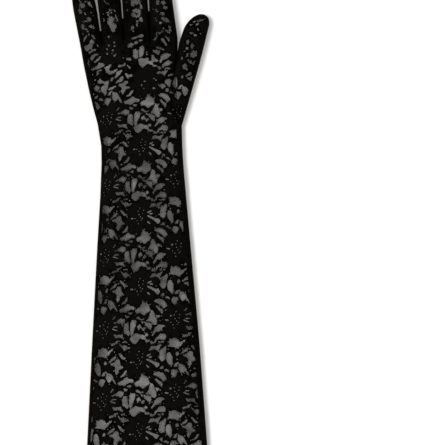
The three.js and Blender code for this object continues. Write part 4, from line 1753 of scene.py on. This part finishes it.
@dataclass(frozen=True)
class Tape:
    """A knitted strip sewn along one edge of a tube, wrapped from under it to the top."""

    tube: Tube
    side: float
    start: float
    end: float
    inward: float
    below: float = -50.0
    outer: float = 0.35
    inner: float = -0.4
    spacing: float = 4.0
    steps: int = 10
    tip_rows: int = 12
    least: float = 0.02

    def rows(self) -> Array:
        """Lays the rows, closer together where the tip rounds off.

        Returns:
            Distances from the hem.
        """
        last = self.tube.rows[-1].y
        stop = min(self.end, last)
        straight = np.linspace(self.start, stop, max(2, round((stop - self.start) / self.spacing)))
        if self.end <= last:
            return straight
        furthest = math.asin((self.end - last) / (self.tube.tip_y - last))
        turned = np.sin(np.linspace(0, furthest, self.tip_rows)[1:])
        return np.concatenate([straight, last + (self.tube.tip_y - last) * turned])

    def turns(self, rows: Array) -> Array:
        """Angles round the section, up to the one whose skin lies the wanted distance in from the edge.

        Args:
            rows: Distances from the hem.

        Returns:
            Angles in degrees, one line for each row.
        """
        half = self.tube.sections(rows).half
        share = np.clip(1.0 - self.inward / np.maximum(half, SLIM_TUBE), self.least, 1.0)
        top = np.degrees(np.arccos(share ** (DOME / 2)))
        return self.below + (top[:, None] - self.below) * np.linspace(0, 1, self.steps)

    def solid(self) -> Solid:
        """Makes the strip.

        Returns:
            Points and quads of a closed sheet.
        """
        rows = self.rows()
        turn = self.turns(rows)
        outer, inner = (
            self.tube.skin_point(rows[:, None], self.side, turn, np.full(turn.shape, out))
            for out in (self.outer, self.inner)
        )
        return closed_sheet(outer, inner)


@dataclass(frozen=True)
class Stitches:
    """Short raised threads sewn through the cloth near one edge of a tube."""

    tube: Tube
    side: float
    out: float = 0.42
    thread: float = 0.36
    rise: float = 0.22
    rings: int = 4
    overlock_pitch: float = 2.2
    overlock_size: float = 1.1
    running_pitch: float = 2.4
    running_size: float = 1.5
    running_start: float = 0.8

    def sewn(self, start: Array, end: Array) -> Solid:
        """Lays one thread from each start to its end.

        Args:
            start: Distance from the hem and distance in from the edge, for each stitch.
            end: The same for the stitch's other end.

        Returns:
            Points and triangles in plan millimetres.
        """
        share = np.linspace(0, 1, self.rings)
        way = end - start
        across = np.column_stack([-way[:, 1], way[:, 0]]) / np.linalg.norm(way, axis=1, keepdims=True)
        line = start[:, None] + share[:, None] * way[:, None]
        stand = self.out + self.rise * (np.sin(np.pi * share) - 1.0)
        half = self.thread / 2
        corners = []
        for aside, lift in ((half, -half), (-half, -half), (0.0, half)):
            place = line + aside * across[:, None]
            reach = self.tube.sections(place[..., 0]).half
            inward = np.clip(place[..., 1] / np.maximum(reach, SLIM_TUBE), 0.0, 1.0)
            turn = np.degrees(np.arccos((1.0 - inward) ** (DOME / 2)))
            stood = np.broadcast_to(stand + lift, turn.shape)
            corners.append(self.tube.skin_point(place[..., 0], self.side, turn, stood))
        points = np.stack(corners, axis=2).reshape(-1, 3)
        begin = np.arange(len(start)) * self.rings * 3
        ring = (begin[:, None] + np.arange(self.rings - 1) * 3).ravel()
        faces = prism_faces(begin, begin + (self.rings - 1) * 3, ring)
        return points, facing_out(points, faces)

    def overlock(self, low: float, high: float, inward: float) -> Solid:
        """A row of slanting stitches along the edge.

        Args:
            low: Where the row starts, as a distance from the hem.
            high: Where it ends.
            inward: Distance of the row's middle in from the edge.

        Returns:
            Points and triangles in plan millimetres.
        """
        rows = np.arange(low, high, self.overlock_pitch)
        start = np.column_stack([rows, np.full(len(rows), inward - self.overlock_size / 2)])
        return self.sewn(start, start + self.overlock_size)

    def running(self, row: float) -> Solid:
        """A straight row of stitches from the edge up to the crown.

        Args:
            row: Distance of the row from the hem.

        Returns:
            Points and triangles in plan millimetres.
        """
        half = float(self.tube.sections(np.array(row)).half)
        inward = np.arange(self.running_start, half - self.running_size, self.running_pitch)
        start = np.column_stack([np.full(len(inward), row), inward])
        return self.sewn(start, start + [0.0, self.running_size])


@dataclass(frozen=True)
class Web:
    """The part of a fourchette that spans the fork between two fingers."""

    left: Tube
    right: Tube
    start: float
    end: float
    lap: float = 1.6
    level: float = 5.6
    thick: float = 1.4
    hollow: float = 1.2
    scoop: float = 3.0
    first_sag: float = 0.2
    lines: int = 16
    columns: int = 9

    def solid(self) -> Solid:
        """Makes a sheet between the two edges, hollowed towards the free end, which is scooped out.

        Returns:
            Points and quads of a closed sheet.
        """
        rows = np.linspace(self.start, self.end, self.lines)
        a, b = self.left.sections(rows), self.right.sections(rows)
        low, high = a.centre + a.half - self.lap, b.centre - b.half + self.lap
        share = np.linspace(0, 1, self.columns)
        x = low[:, None] + (high - low)[:, None] * share
        arch = np.sin(np.pi * share)
        sag = self.hollow * arch * np.linspace(self.first_sag, 1, self.lines)[:, None]
        y = np.broadcast_to(rows[:, None], x.shape) - self.scoop * arch * (rows[:, None] >= self.end)
        top = np.stack([x, y, self.level + self.hollow - sag], axis=-1)
        under = top - [0.0, 0.0, self.thick]
        return closed_sheet(top, under)


@dataclass(frozen=True)
class ThreadFinish:
    """Black yarn: its colours, gloss and the scale and height of its stitches."""

    name: str
    dark: tuple[float, float, float]
    light: tuple[float, float, float]
    roughness: float
    rib: float
    grain: float
    bump: float
    # Share of the colour left on unraised ground, where the "worked" attribute is 0; raised work keeps
    # all of it, a painted sheen.
    ground: float = 1.0
    rib_turn: float = 62.0
    bump_strength: float = 0.8
    darkest: float = 0.25
    lightest: float = 0.8
    gloss: float = 0.015

    def material(self) -> bpy.types.Material:
        """Makes the material: two crossed ribs with a fine grain, in the piece's own coordinates.

        Returns:
            The new material.
        """
        material = bpy.data.materials.new(self.name)
        material.use_nodes = True
        tree = material.node_tree
        shader = tree.nodes["Principled BSDF"]
        place = tree.nodes.new("ShaderNodeTexCoord").outputs["Object"]
        ribs = [self._rib(tree, place, turn) for turn in (self.rib_turn, -self.rib_turn)]
        grain = self._node(tree, "ShaderNodeTexNoise", {"Scale": self.grain, "Detail": 3.0})
        tree.links.new(place, grain.inputs["Vector"])
        rough = self._math(tree, "MULTIPLY", self._math(tree, "MAXIMUM", *ribs), grain.outputs["Fac"])
        bump = self._node(
            tree, "ShaderNodeBump", {"Strength": self.bump_strength, "Distance": self.bump}
        )
        tree.links.new(rough, bump.inputs["Height"])
        tree.links.new(bump.outputs["Normal"], shader.inputs["Normal"])
        # Painted sheen: the colour is scaled from the ground share up to full by the "worked"
        # attribute, so raised petals and leaves come out lighter.
        if self.ground < 1.0:
            worked = tree.nodes.new("ShaderNodeAttribute")
            worked.attribute_name = "worked"
            level = self._node(tree, "ShaderNodeMapRange", {"To Min": self.ground})
            tree.links.new(worked.outputs["Fac"], level.inputs["Value"])
            rough = self._math(tree, "MULTIPLY", rough, level.outputs["Result"])
        ramp = tree.nodes.new("ShaderNodeValToRGB")
        first, last = ramp.color_ramp.elements
        first.color, first.position = (*self.dark, 1.0), self.darkest
        last.color, last.position = (*self.light, 1.0), self.lightest
        tree.links.new(rough, ramp.inputs["Fac"])
        tree.links.new(ramp.outputs["Color"], shader.inputs["Base Color"])
        shader.inputs["Roughness"].default_value = self.roughness
        shader.inputs["Specular IOR Level"].default_value = self.gloss
        return material

    @staticmethod
    def _node(tree: bpy.types.NodeTree, kind: str, values: dict[str, float]) -> bpy.types.Node:
        """Adds one node.

        Args:
            tree: The material's tree.
            kind: The node's type.
            values: What its plain inputs are set to.

        Returns:
            The node.
        """
        node = tree.nodes.new(kind)
        for name, value in values.items():
            node.inputs[name].default_value = value
        return node

    def _rib(
        self, tree: bpy.types.NodeTree, place: bpy.types.NodeSocket, turn: float
    ) -> bpy.types.NodeSocket:
        """Adds one direction of ribs.

        Args:
            tree: The material's tree.
            place: Coordinates to work in.
            turn: Direction of the ribs, in degrees.

        Returns:
            Height of the ribs, 0 to 1.
        """
        mapping = tree.nodes.new("ShaderNodeMapping")
        mapping.inputs["Rotation"].default_value[2] = math.radians(turn)
        tree.links.new(place, mapping.inputs["Vector"])
        shape = {"Scale": self.rib, "Distortion": 1.4, "Detail": 1.0, "Detail Scale": 2.0}
        wave = self._node(tree, "ShaderNodeTexWave", shape)
        tree.links.new(mapping.outputs["Vector"], wave.inputs["Vector"])
        return wave.outputs["Fac"]

    @staticmethod
    def _math(
        tree: bpy.types.NodeTree,
        kind: str,
        first: bpy.types.NodeSocket,
        second: bpy.types.NodeSocket,
    ) -> bpy.types.NodeSocket:
        """Joins two values with one arithmetic node.

        Args:
            tree: The material's tree.
            kind: The sum that the node does.
            first: First value.
            second: Second value.

        Returns:
            The result.
        """
        node = tree.nodes.new("ShaderNodeMath")
        node.operation = kind
        tree.links.new(first, node.inputs[0])
        tree.links.new(second, node.inputs[1])
        return node.outputs[0]


# The lace yarn's colour carries a painted sheen: on unraised ground it is half as light as on raised
# work.
LACE_FINISH = ThreadFinish(
    name="lace_yarn",
    dark=(0.0005, 0.0004, 0.0003),
    light=(0.0125, 0.0110, 0.0088),
    roughness=0.62,
    rib=420.0,
    grain=1500.0,
    bump=0.0002,
    ground=0.5,
)
NET_FINISH = ThreadFinish(
    name="net_yarn",
    dark=(0.006, 0.0045, 0.0025),
    light=(0.018, 0.0145, 0.0095),
    roughness=0.6,
    rib=900.0,
    grain=3000.0,
    bump=0.00005,
)
KNIT_FINISH = ThreadFinish(
    name="knit_yarn",
    dark=(0.0008, 0.0007, 0.0006),
    light=(0.006, 0.0054, 0.0047),
    roughness=0.7,
    rib=620.0,
    grain=2400.0,
    bump=0.00015,
)
SEWING_FINISH = ThreadFinish(
    name="sewing_thread",
    dark=(0.002, 0.0018, 0.0015),
    light=(0.016, 0.0145, 0.0125),
    roughness=0.5,
    rib=2400.0,
    grain=6000.0,
    bump=0.00004,
)


def dressed(
    name: str,
    points: Array,
    faces: Array,
    finish: ThreadFinish,
    slot: str,
    nodes: tuple[str, ...],
    worked: Array | None = None,
) -> bpy.types.Object:
    """Makes a piece, dresses it, hangs it under the root body and hides the CAD nodes that it stands
    for.

    Args:
        name: Name of the piece.
        points: Plan points in millimetres.
        faces: Triangles or quads.
        finish: The yarn it is made of.
        slot: Not used.
        nodes: CAD nodes that it stands for.
        worked: Painted sheen at each point, 0 to 1, lighter on raised work, where the finish looks for
            it.

    Returns:
        The piece.
    """
    piece = mesh_object(name, to_metres(points), faces)
    # The "worked" attribute carries a painted sheen: the finish makes the yarn lighter where it is 1.
    if worked is not None:
        painted_sheen = piece.data.attributes.new("worked", "FLOAT", "POINT")
        painted_sheen.data.foreach_set("value", worked.astype(np.float32))
    piece.data.materials.append(finish.material())
    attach(piece, "root")
    if nodes:
        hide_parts(*nodes)
    corners = faces.shape[1]
    LOG.info("%s: %d points, %d triangles", name, len(points), len(faces) * (corners - 2))
    return piece


@dataclass(frozen=True)
class Relief:
    """How worked lace stands on the skin: its two faces, its relief, and the painted sheen on its
    raised yarn.

    The relief and the painted sheen rise over a span of the signed distance that they are read from.
    """

    rise: Corner
    sheen_span: Corner
    outer: float = 0.15
    height: float = 0.35
    under: float = -0.35

    def dress(self, name: str, node: str, skin: Skin, cloth: CutCloth, raised: Array) -> None:
        """Makes a lace piece from its cut cloth.

        Args:
            name: Name of the piece.
            node: CAD node that it stands for.
            skin: The skin that it lies on.
            cloth: The cut cloth.
            raised: Signed distance of what is raised, at the cloth's points.
        """
        out = self.outer + self.height * smooth_step(*self.rise, raised)
        top = skin.lift(cloth.plan, out, Side.BACK)
        under = skin.lift(cloth.plan, np.full(len(raised), self.under), Side.BACK)
        # Painted sheen: the yarn's colour comes out lighter where the relief is raised.
        painted_sheen = np.tile(smooth_step(*self.sheen_span, raised), 2)
        lace = thick_cloth(cloth, top, under)
        dressed(name, *lace, LACE_FINISH, "lace", (node,), painted_sheen)


@dataclass
class Back:
    """The back of the glove: floral lace over a fine net, cut away under the thumb piece."""

    skin: Skin
    field: LaceField
    thumb: "Thumb"
    thumb_lap: float = 1.2
    step: float = 0.6
    inner: float = 2.4
    edge: float = 0.3
    relief: Relief = Relief(rise=(-0.3, 1.2), sheen_span=(-0.8, 0.8))
    finger_band: float = 2.6
    band_start: float = 400.0
    band_full: float = 416.0
    hem: float = 2.0
    net_lap: float = 0.35
    slit_lap: float = 0.5

    def worked(self, x: Array, y: Array) -> Array:
        """Signed distance of the lace: the chart, the bands along the fingers, and the outline.

        Args:
            x: Plan x.
            y: Plan y.

        Returns:
            Signed distances, positive on the lace.
        """
        inside = self.skin.side_distance(x, y)
        band = self.finger_band * smooth_step(self.band_start, self.band_full, y) - inside
        cloth = np.minimum(np.maximum(self.field.arm(x, y), band), inside - self.edge)
        return np.minimum(cloth, self.thumb_lap - self.thumb.shown(x, y))

    def into_gap(self, x: Array, y: Array) -> Array:
        """Distance into a gap from its rim."""
        return -self.worked(x, y)

    def open_work(self, x: Array, y: Array) -> Array:
        """Where the net is worked.

        Args:
            x: Plan x.
            y: Plan y.

        Returns:
            Positive in the lace's gaps and a little way under their rims.
        """
        inside = self.skin.side_distance(x, y) - self.edge
        shown = np.minimum(self.net_lap - self.worked(x, y), inside)
        slits = np.where(y < FINGERS_START, self.slit_lap - self.field.netted(x, y), 1.0)
        bare = np.minimum(slits, -self.field.bare(x, y))
        ends = np.minimum(y - self.hem, -self.thumb.shown(x, y))
        return np.minimum(np.minimum(shown, bare), ends)

    def build(self) -> None:
        """Cuts the lace and works the net in its gaps."""
        cloth = CutCloth(self.worked, GLOVE_BOX, self.step, self.inner)
        raised = self.field.motif(*cloth.plan.T)
        self.relief.dress("back_lace", "back_panel", self.skin, cloth, raised)
        net = Net(
            self.skin, Side.BACK, width=0.17, into_gap=self.into_gap, out=-0.2, segment=2.0
        )
        dressed("back_net", *net.strands(self.open_work, GLOVE_BOX), NET_FINISH, "net", ())


@dataclass
class Palm:
    """The palm of the glove, plain net all over."""

    skin: Skin
    edge: float = 0.5
    hem: float = 2.0

    def worn(self, x: Array, y: Array) -> Array:
        """Positive inside the outline."""
        return np.minimum(self.skin.side_distance(x, y) - self.edge, y - self.hem)

    def build(self) -> None:
        """Works the net."""
        net = Net(self.skin, Side.PALM, out=-0.15, segment=6.0)
        dressed("palm_net", *net.strands(self.worn, GLOVE_BOX), NET_FINISH, "net", ("palm_panel",))


@dataclass
class Thumb:
    """The thumb piece: lace above, net below, and a band along both edges."""

    hand: Skin
    field: LaceField
    step: float = 0.5
    inner: float = 1.8
    edge: float = 0.25
    over: float = 0.3
    relief: Relief = Relief(rise=(0.0, 2.0), sheen_span=(0.3, 2.2))
    band: float = 2.6
    net_lap: float = 0.35
    band_end: float = 440.5

    def shown(self, x: Array, y: Array) -> Array:
        """Where the thumb lies outside the hand or over it.

        Args:
            x: Plan x.
            y: Plan y.

        Returns:
            Positive where the thumb shows.
        """
        over = (THUMB.upper(x, y) - self.hand.upper(x, y)) - self.over
        clear = np.maximum(-self.hand.side_distance(x, y), over)
        return np.minimum(THUMB.side_distance(x, y) - self.edge, clear)

    def worked(self, x: Array, y: Array) -> Array:
        """Signed distance of the thumb's lace."""
        band = self.band - THUMB.side_distance(x, y)
        return np.minimum(np.maximum(self.field.thumb(x, y), band), self.shown(x, y))

    def gaps(self, x: Array, y: Array) -> Array:
        """Positive in the gaps of the thumb's lace."""
        shown = np.minimum(self.net_lap - self.worked(x, y), self.shown(x, y))
        return np.minimum(shown, -self.field.bare(x, y))

    def below(self, x: Array, y: Array) -> Array:
        """Positive on the thumb's lower side, clear of the hand."""
        clear = -self.hand.side_distance(x, y)
        return np.minimum(THUMB.side_distance(x, y) - self.edge, clear)

    def build(self) -> None:
        """Makes the thumb's lace, its net and its side bands."""
        skin = Skin((THUMB,))
        cloth = CutCloth(self.worked, THUMB_BOX, self.step, self.inner)
        self.relief.dress("thumb_lace", "thumb", skin, cloth, cloth.read(*cloth.plan.T))
        upper = Net(skin, Side.BACK, gathered=0.0, out=-0.2, segment=3.0)
        lower = Net(skin, Side.PALM, gathered=0.0, out=-0.15, segment=5.0)
        nets = [upper.strands(self.gaps, THUMB_BOX), lower.strands(self.below, THUMB_BOX)]
        dressed("thumb_net", *joined(nets), NET_FINISH, "net", ())
        bands = [
            Tape(THUMB, side=1.0, start=340.0, end=self.band_end, inward=2.2).solid(),
            Tape(THUMB, side=-1.0, start=402.0, end=self.band_end, inward=2.2).solid(),
        ]
        dressed("thumb_bands", *joined(bands), KNIT_FINISH, "knit", ())


@dataclass
class Seams:
    """The knitted strips along the edges and between the fingers, and the stitches along them.

    The forks give the strip's name, the fingers to its left and right, and where its web ends. The
    rows of stitches give the tube, its side, their start and end, and how far in they lie.
    """

    finger_band: float = 2.6
    short_of_tip: float = 1.2
    forks: tuple[tuple[str, Tube, Tube, float], ...] = (
        ("fourchette_ring_little", LITTLE, RING, 429.0),
        ("fourchette_middle_ring", RING, MIDDLE, 441.0),
        ("fourchette_index_middle", MIDDLE, INDEX, 447.7),
    )
    stitch_rows: tuple[tuple[Tube, float, float, float, float], ...] = (
        (ARM, -1.0, 12.0, 395.0, 1.5),
        (ARM, 1.0, 12.0, 342.0, 3.6),
        (THUMB, 1.0, 342.0, 432.0, 1.5),
        (THUMB, -1.0, 404.0, 432.0, 1.5),
        (LITTLE, -1.0, 398.0, 461.0, 1.9),
        (LITTLE, 1.0, 434.0, 461.0, 1.9),
        (RING, -1.0, 434.0, 477.0, 1.9),
        (RING, 1.0, 434.0, 477.0, 1.9),
        (MIDDLE, -1.0, 446.0, 487.0, 1.9),
        (MIDDLE, 1.0, 446.0, 487.0, 1.9),
        (INDEX, -1.0, 452.0, 477.0, 1.9),
        (INDEX, 1.0, 406.0, 477.0, 1.9),
    )

    def strip(self, finger: Tube, side: float, start: float, inward: float) -> Solid:
        """A strip along one side of a finger, almost to its tip."""
        return Tape(finger, side, start, finger.tip_y - self.short_of_tip, inward).solid()

    def build(self) -> None:
        """Makes the side seams, the fourchettes and the webs in their forks, and the stitches."""
        for name, left, right, end in self.forks:
            foot = max(left.rows[1].y, right.rows[1].y)
            solids = [
                self.strip(left, 1.0, foot + 4.0, self.finger_band),
                self.strip(right, -1.0, foot + 4.0, self.finger_band),
                Web(left, right, foot - 2.0, end).solid(),
            ]
            dressed(name + "_knit", *joined(solids), KNIT_FINISH, "knit", (name,))
        index = self.strip(INDEX, side=1.0, start=404.0, inward=self.finger_band)
        dressed("index_side_knit", *index, KNIT_FINISH, "knit", ("index_side_seam",))
        outer = [
            Tape(ARM, side=-1.0, start=9.0, end=396.0, inward=2.0).solid(),
            self.strip(LITTLE, side=-1.0, start=394.0, inward=2.4),
        ]
        dressed("outer_side_knit", *joined(outer), KNIT_FINISH, "knit", ("outer_side_seam",))
        inner = Tape(ARM, side=1.0, start=9.0, end=344.0, inward=4.4).solid()
        dressed("inner_side_knit", *inner, KNIT_FINISH, "knit", ("inner_side_seam",))
        rows = [Stitches(tube, side).overlock(*row) for tube, side, *row in self.stitch_rows]
        dressed("seam_stitches", *joined(rows), SEWING_FINISH, "knit", ())


@dataclass
class Hem:
    """The plain turned hem round the arm opening."""

    width: float = 10.0
    outer: float = 0.55
    inner: float = -0.65
    foot: float = 0.2
    lines: int = 5
    columns: int = 25
    stitch_rows: tuple[float, float] = (2.6, 7.6)

    def ring(self, rows: Array, out: float) -> Array:
        """Points round the section: up over the right edge, across the crown, down the left, and back.

        Args:
            rows: Distances from the glove's end.
            out: How far the points stand off the skin.

        Returns:
            A grid of points, one line for each row.
        """
        turn = np.linspace(-90, 90, self.columns)
        stood = np.full((1, self.columns), out)
        right = ARM.skin_point(rows[:, None], 1.0, turn[None, :], stood)
        left = ARM.skin_point(rows[:, None], -1.0, turn[None, ::-1], stood)
        return np.concatenate([right, left[:, 1:]], axis=1)

    def build(self) -> None:
        """Makes the hem as a ring with an inner and an outer face, and two rows of stitches."""
        lines = np.linspace(self.foot, self.width, self.lines)
        outer, inner = self.ring(lines, self.outer), self.ring(lines, self.inner)
        points, faces = closed_sheet(outer, inner, ring=True)
        points[:, 2] = np.maximum(points[:, 2], 0.0)
        dressed("hem_knit", points, faces, KNIT_FINISH, "knit", ("hem_band",))
        stitches = []
        for side in (-1.0, 1.0):
            hemming = Stitches(ARM, side, out=self.outer)
            stitches += [hemming.running(row) for row in self.stitch_rows]
        dressed("hem_stitches", *joined(stitches), SEWING_FINISH, "knit", ())


@dataclass(frozen=True)
class Studio:
    """A softly lit white table under a key light from the left, seen from straight above."""

    centre_x: float = 0.0726
    centre_y: float = 0.0052
    distance: float = 1.6
    view_width: float = 0.4005
    sensor: float = 36.0
    table: float = 3.0
    sunk: float = 0.0002
    paper: tuple[float, float, float] = (0.90, 0.89, 0.88)
    paper_roughness: float = 0.9
    paper_gloss: float = 0.1
    glow_tint: tuple[float, float, float] = (1.0, 0.985, 0.965)
    glow: float = 0.17
    fill_tint: tuple[float, float, float] = (1.0, 0.99, 0.98)
    fill: float = 0.5
    key: float = 2.12
    key_height: float = 62.0
    key_softness: float = 24.0

    def build(self) -> None:
        """Makes the floor, the world, the key light and the camera."""
        self._lay_floor()
        self._light()
        self._aim()

    def _lay_floor(self) -> None:
        """Lays the paper a little below the glove."""
        half, down = self.table, -self.sunk
        corners = [[-half, -half, down], [half, -half, down], [half, half, down], [-half, half, down]]
        floor = mesh_object("floor", np.array(corners), np.array([[0, 1, 2, 3]]))
        material = bpy.data.materials.new("paper")
        material.use_nodes = True
        inputs = material.node_tree.nodes["Principled BSDF"].inputs
        inputs["Base Color"].default_value = (*self.paper, 1.0)
        inputs["Roughness"].default_value = self.paper_roughness
        inputs["Emission Color"].default_value = (*self.glow_tint, 1.0)
        inputs["Emission Strength"].default_value = self.glow
        inputs["Specular IOR Level"].default_value = self.paper_gloss
        floor.data.materials.append(material)

    def _light(self) -> None:
        """Fills the room with soft light and hangs the key light."""
        world = bpy.data.worlds.new("studio")
        world.use_nodes = True
        inputs = world.node_tree.nodes["Background"].inputs
        inputs["Color"].default_value = (*self.fill_tint, 1.0)
        inputs["Strength"].default_value = self.fill
        bpy.context.scene.world = world
        sun = bpy.data.lights.new("key", "SUN")
        sun.energy = self.key
        sun.angle = math.radians(self.key_softness)
        lamp = bpy.data.objects.new("key", sun)
        lamp.rotation_euler = (0.0, -math.radians(90 - self.key_height), 0.0)
        bpy.context.scene.collection.objects.link(lamp)

    def _aim(self) -> None:
        """Hangs the camera over the middle of the photo's view."""
        scene = bpy.context.scene
        data = bpy.data.cameras.new("camera")
        data.sensor_width = self.sensor
        data.lens = self.sensor * self.distance / self.view_width
        camera = bpy.data.objects.new("camera", data)
        camera.location = (self.centre_x, self.centre_y, self.distance)
        scene.collection.objects.link(camera)
        scene.camera = camera
        scene.view_settings.view_transform = "Standard"
        scene.view_settings.look = "None"


def main() -> None:
    """Builds the glove piece by piece, then the studio."""
    logging.basicConfig(level=logging.INFO, format="%(name)s: %(message)s")
    hand = Skin(HAND)
    fingers = (
        FingerOpenings(LITTLE, LITTLE_OPENINGS, shift=30.0),
        FingerOpenings(RING, RING_OPENINGS, shift=40.0),
        FingerOpenings(MIDDLE, MIDDLE_OPENINGS, shift=42.0),
        FingerOpenings(INDEX, INDEX_OPENINGS, shift=40.0),
    )
    openings = FingerOpenings(THUMB, THUMB_OPENINGS, shift=200.0, low=500.0)
    field = LaceField(LaceChart(), FlowerPlacing(), HandChart(), fingers, openings)
    thumb_piece = Thumb(hand, field)
    Back(hand, field, thumb_piece).build()
    Palm(hand).build()
    thumb_piece.build()
    Seams().build()
    Hem().build()
    Studio().build()


if __name__ == "__main__":
    main()
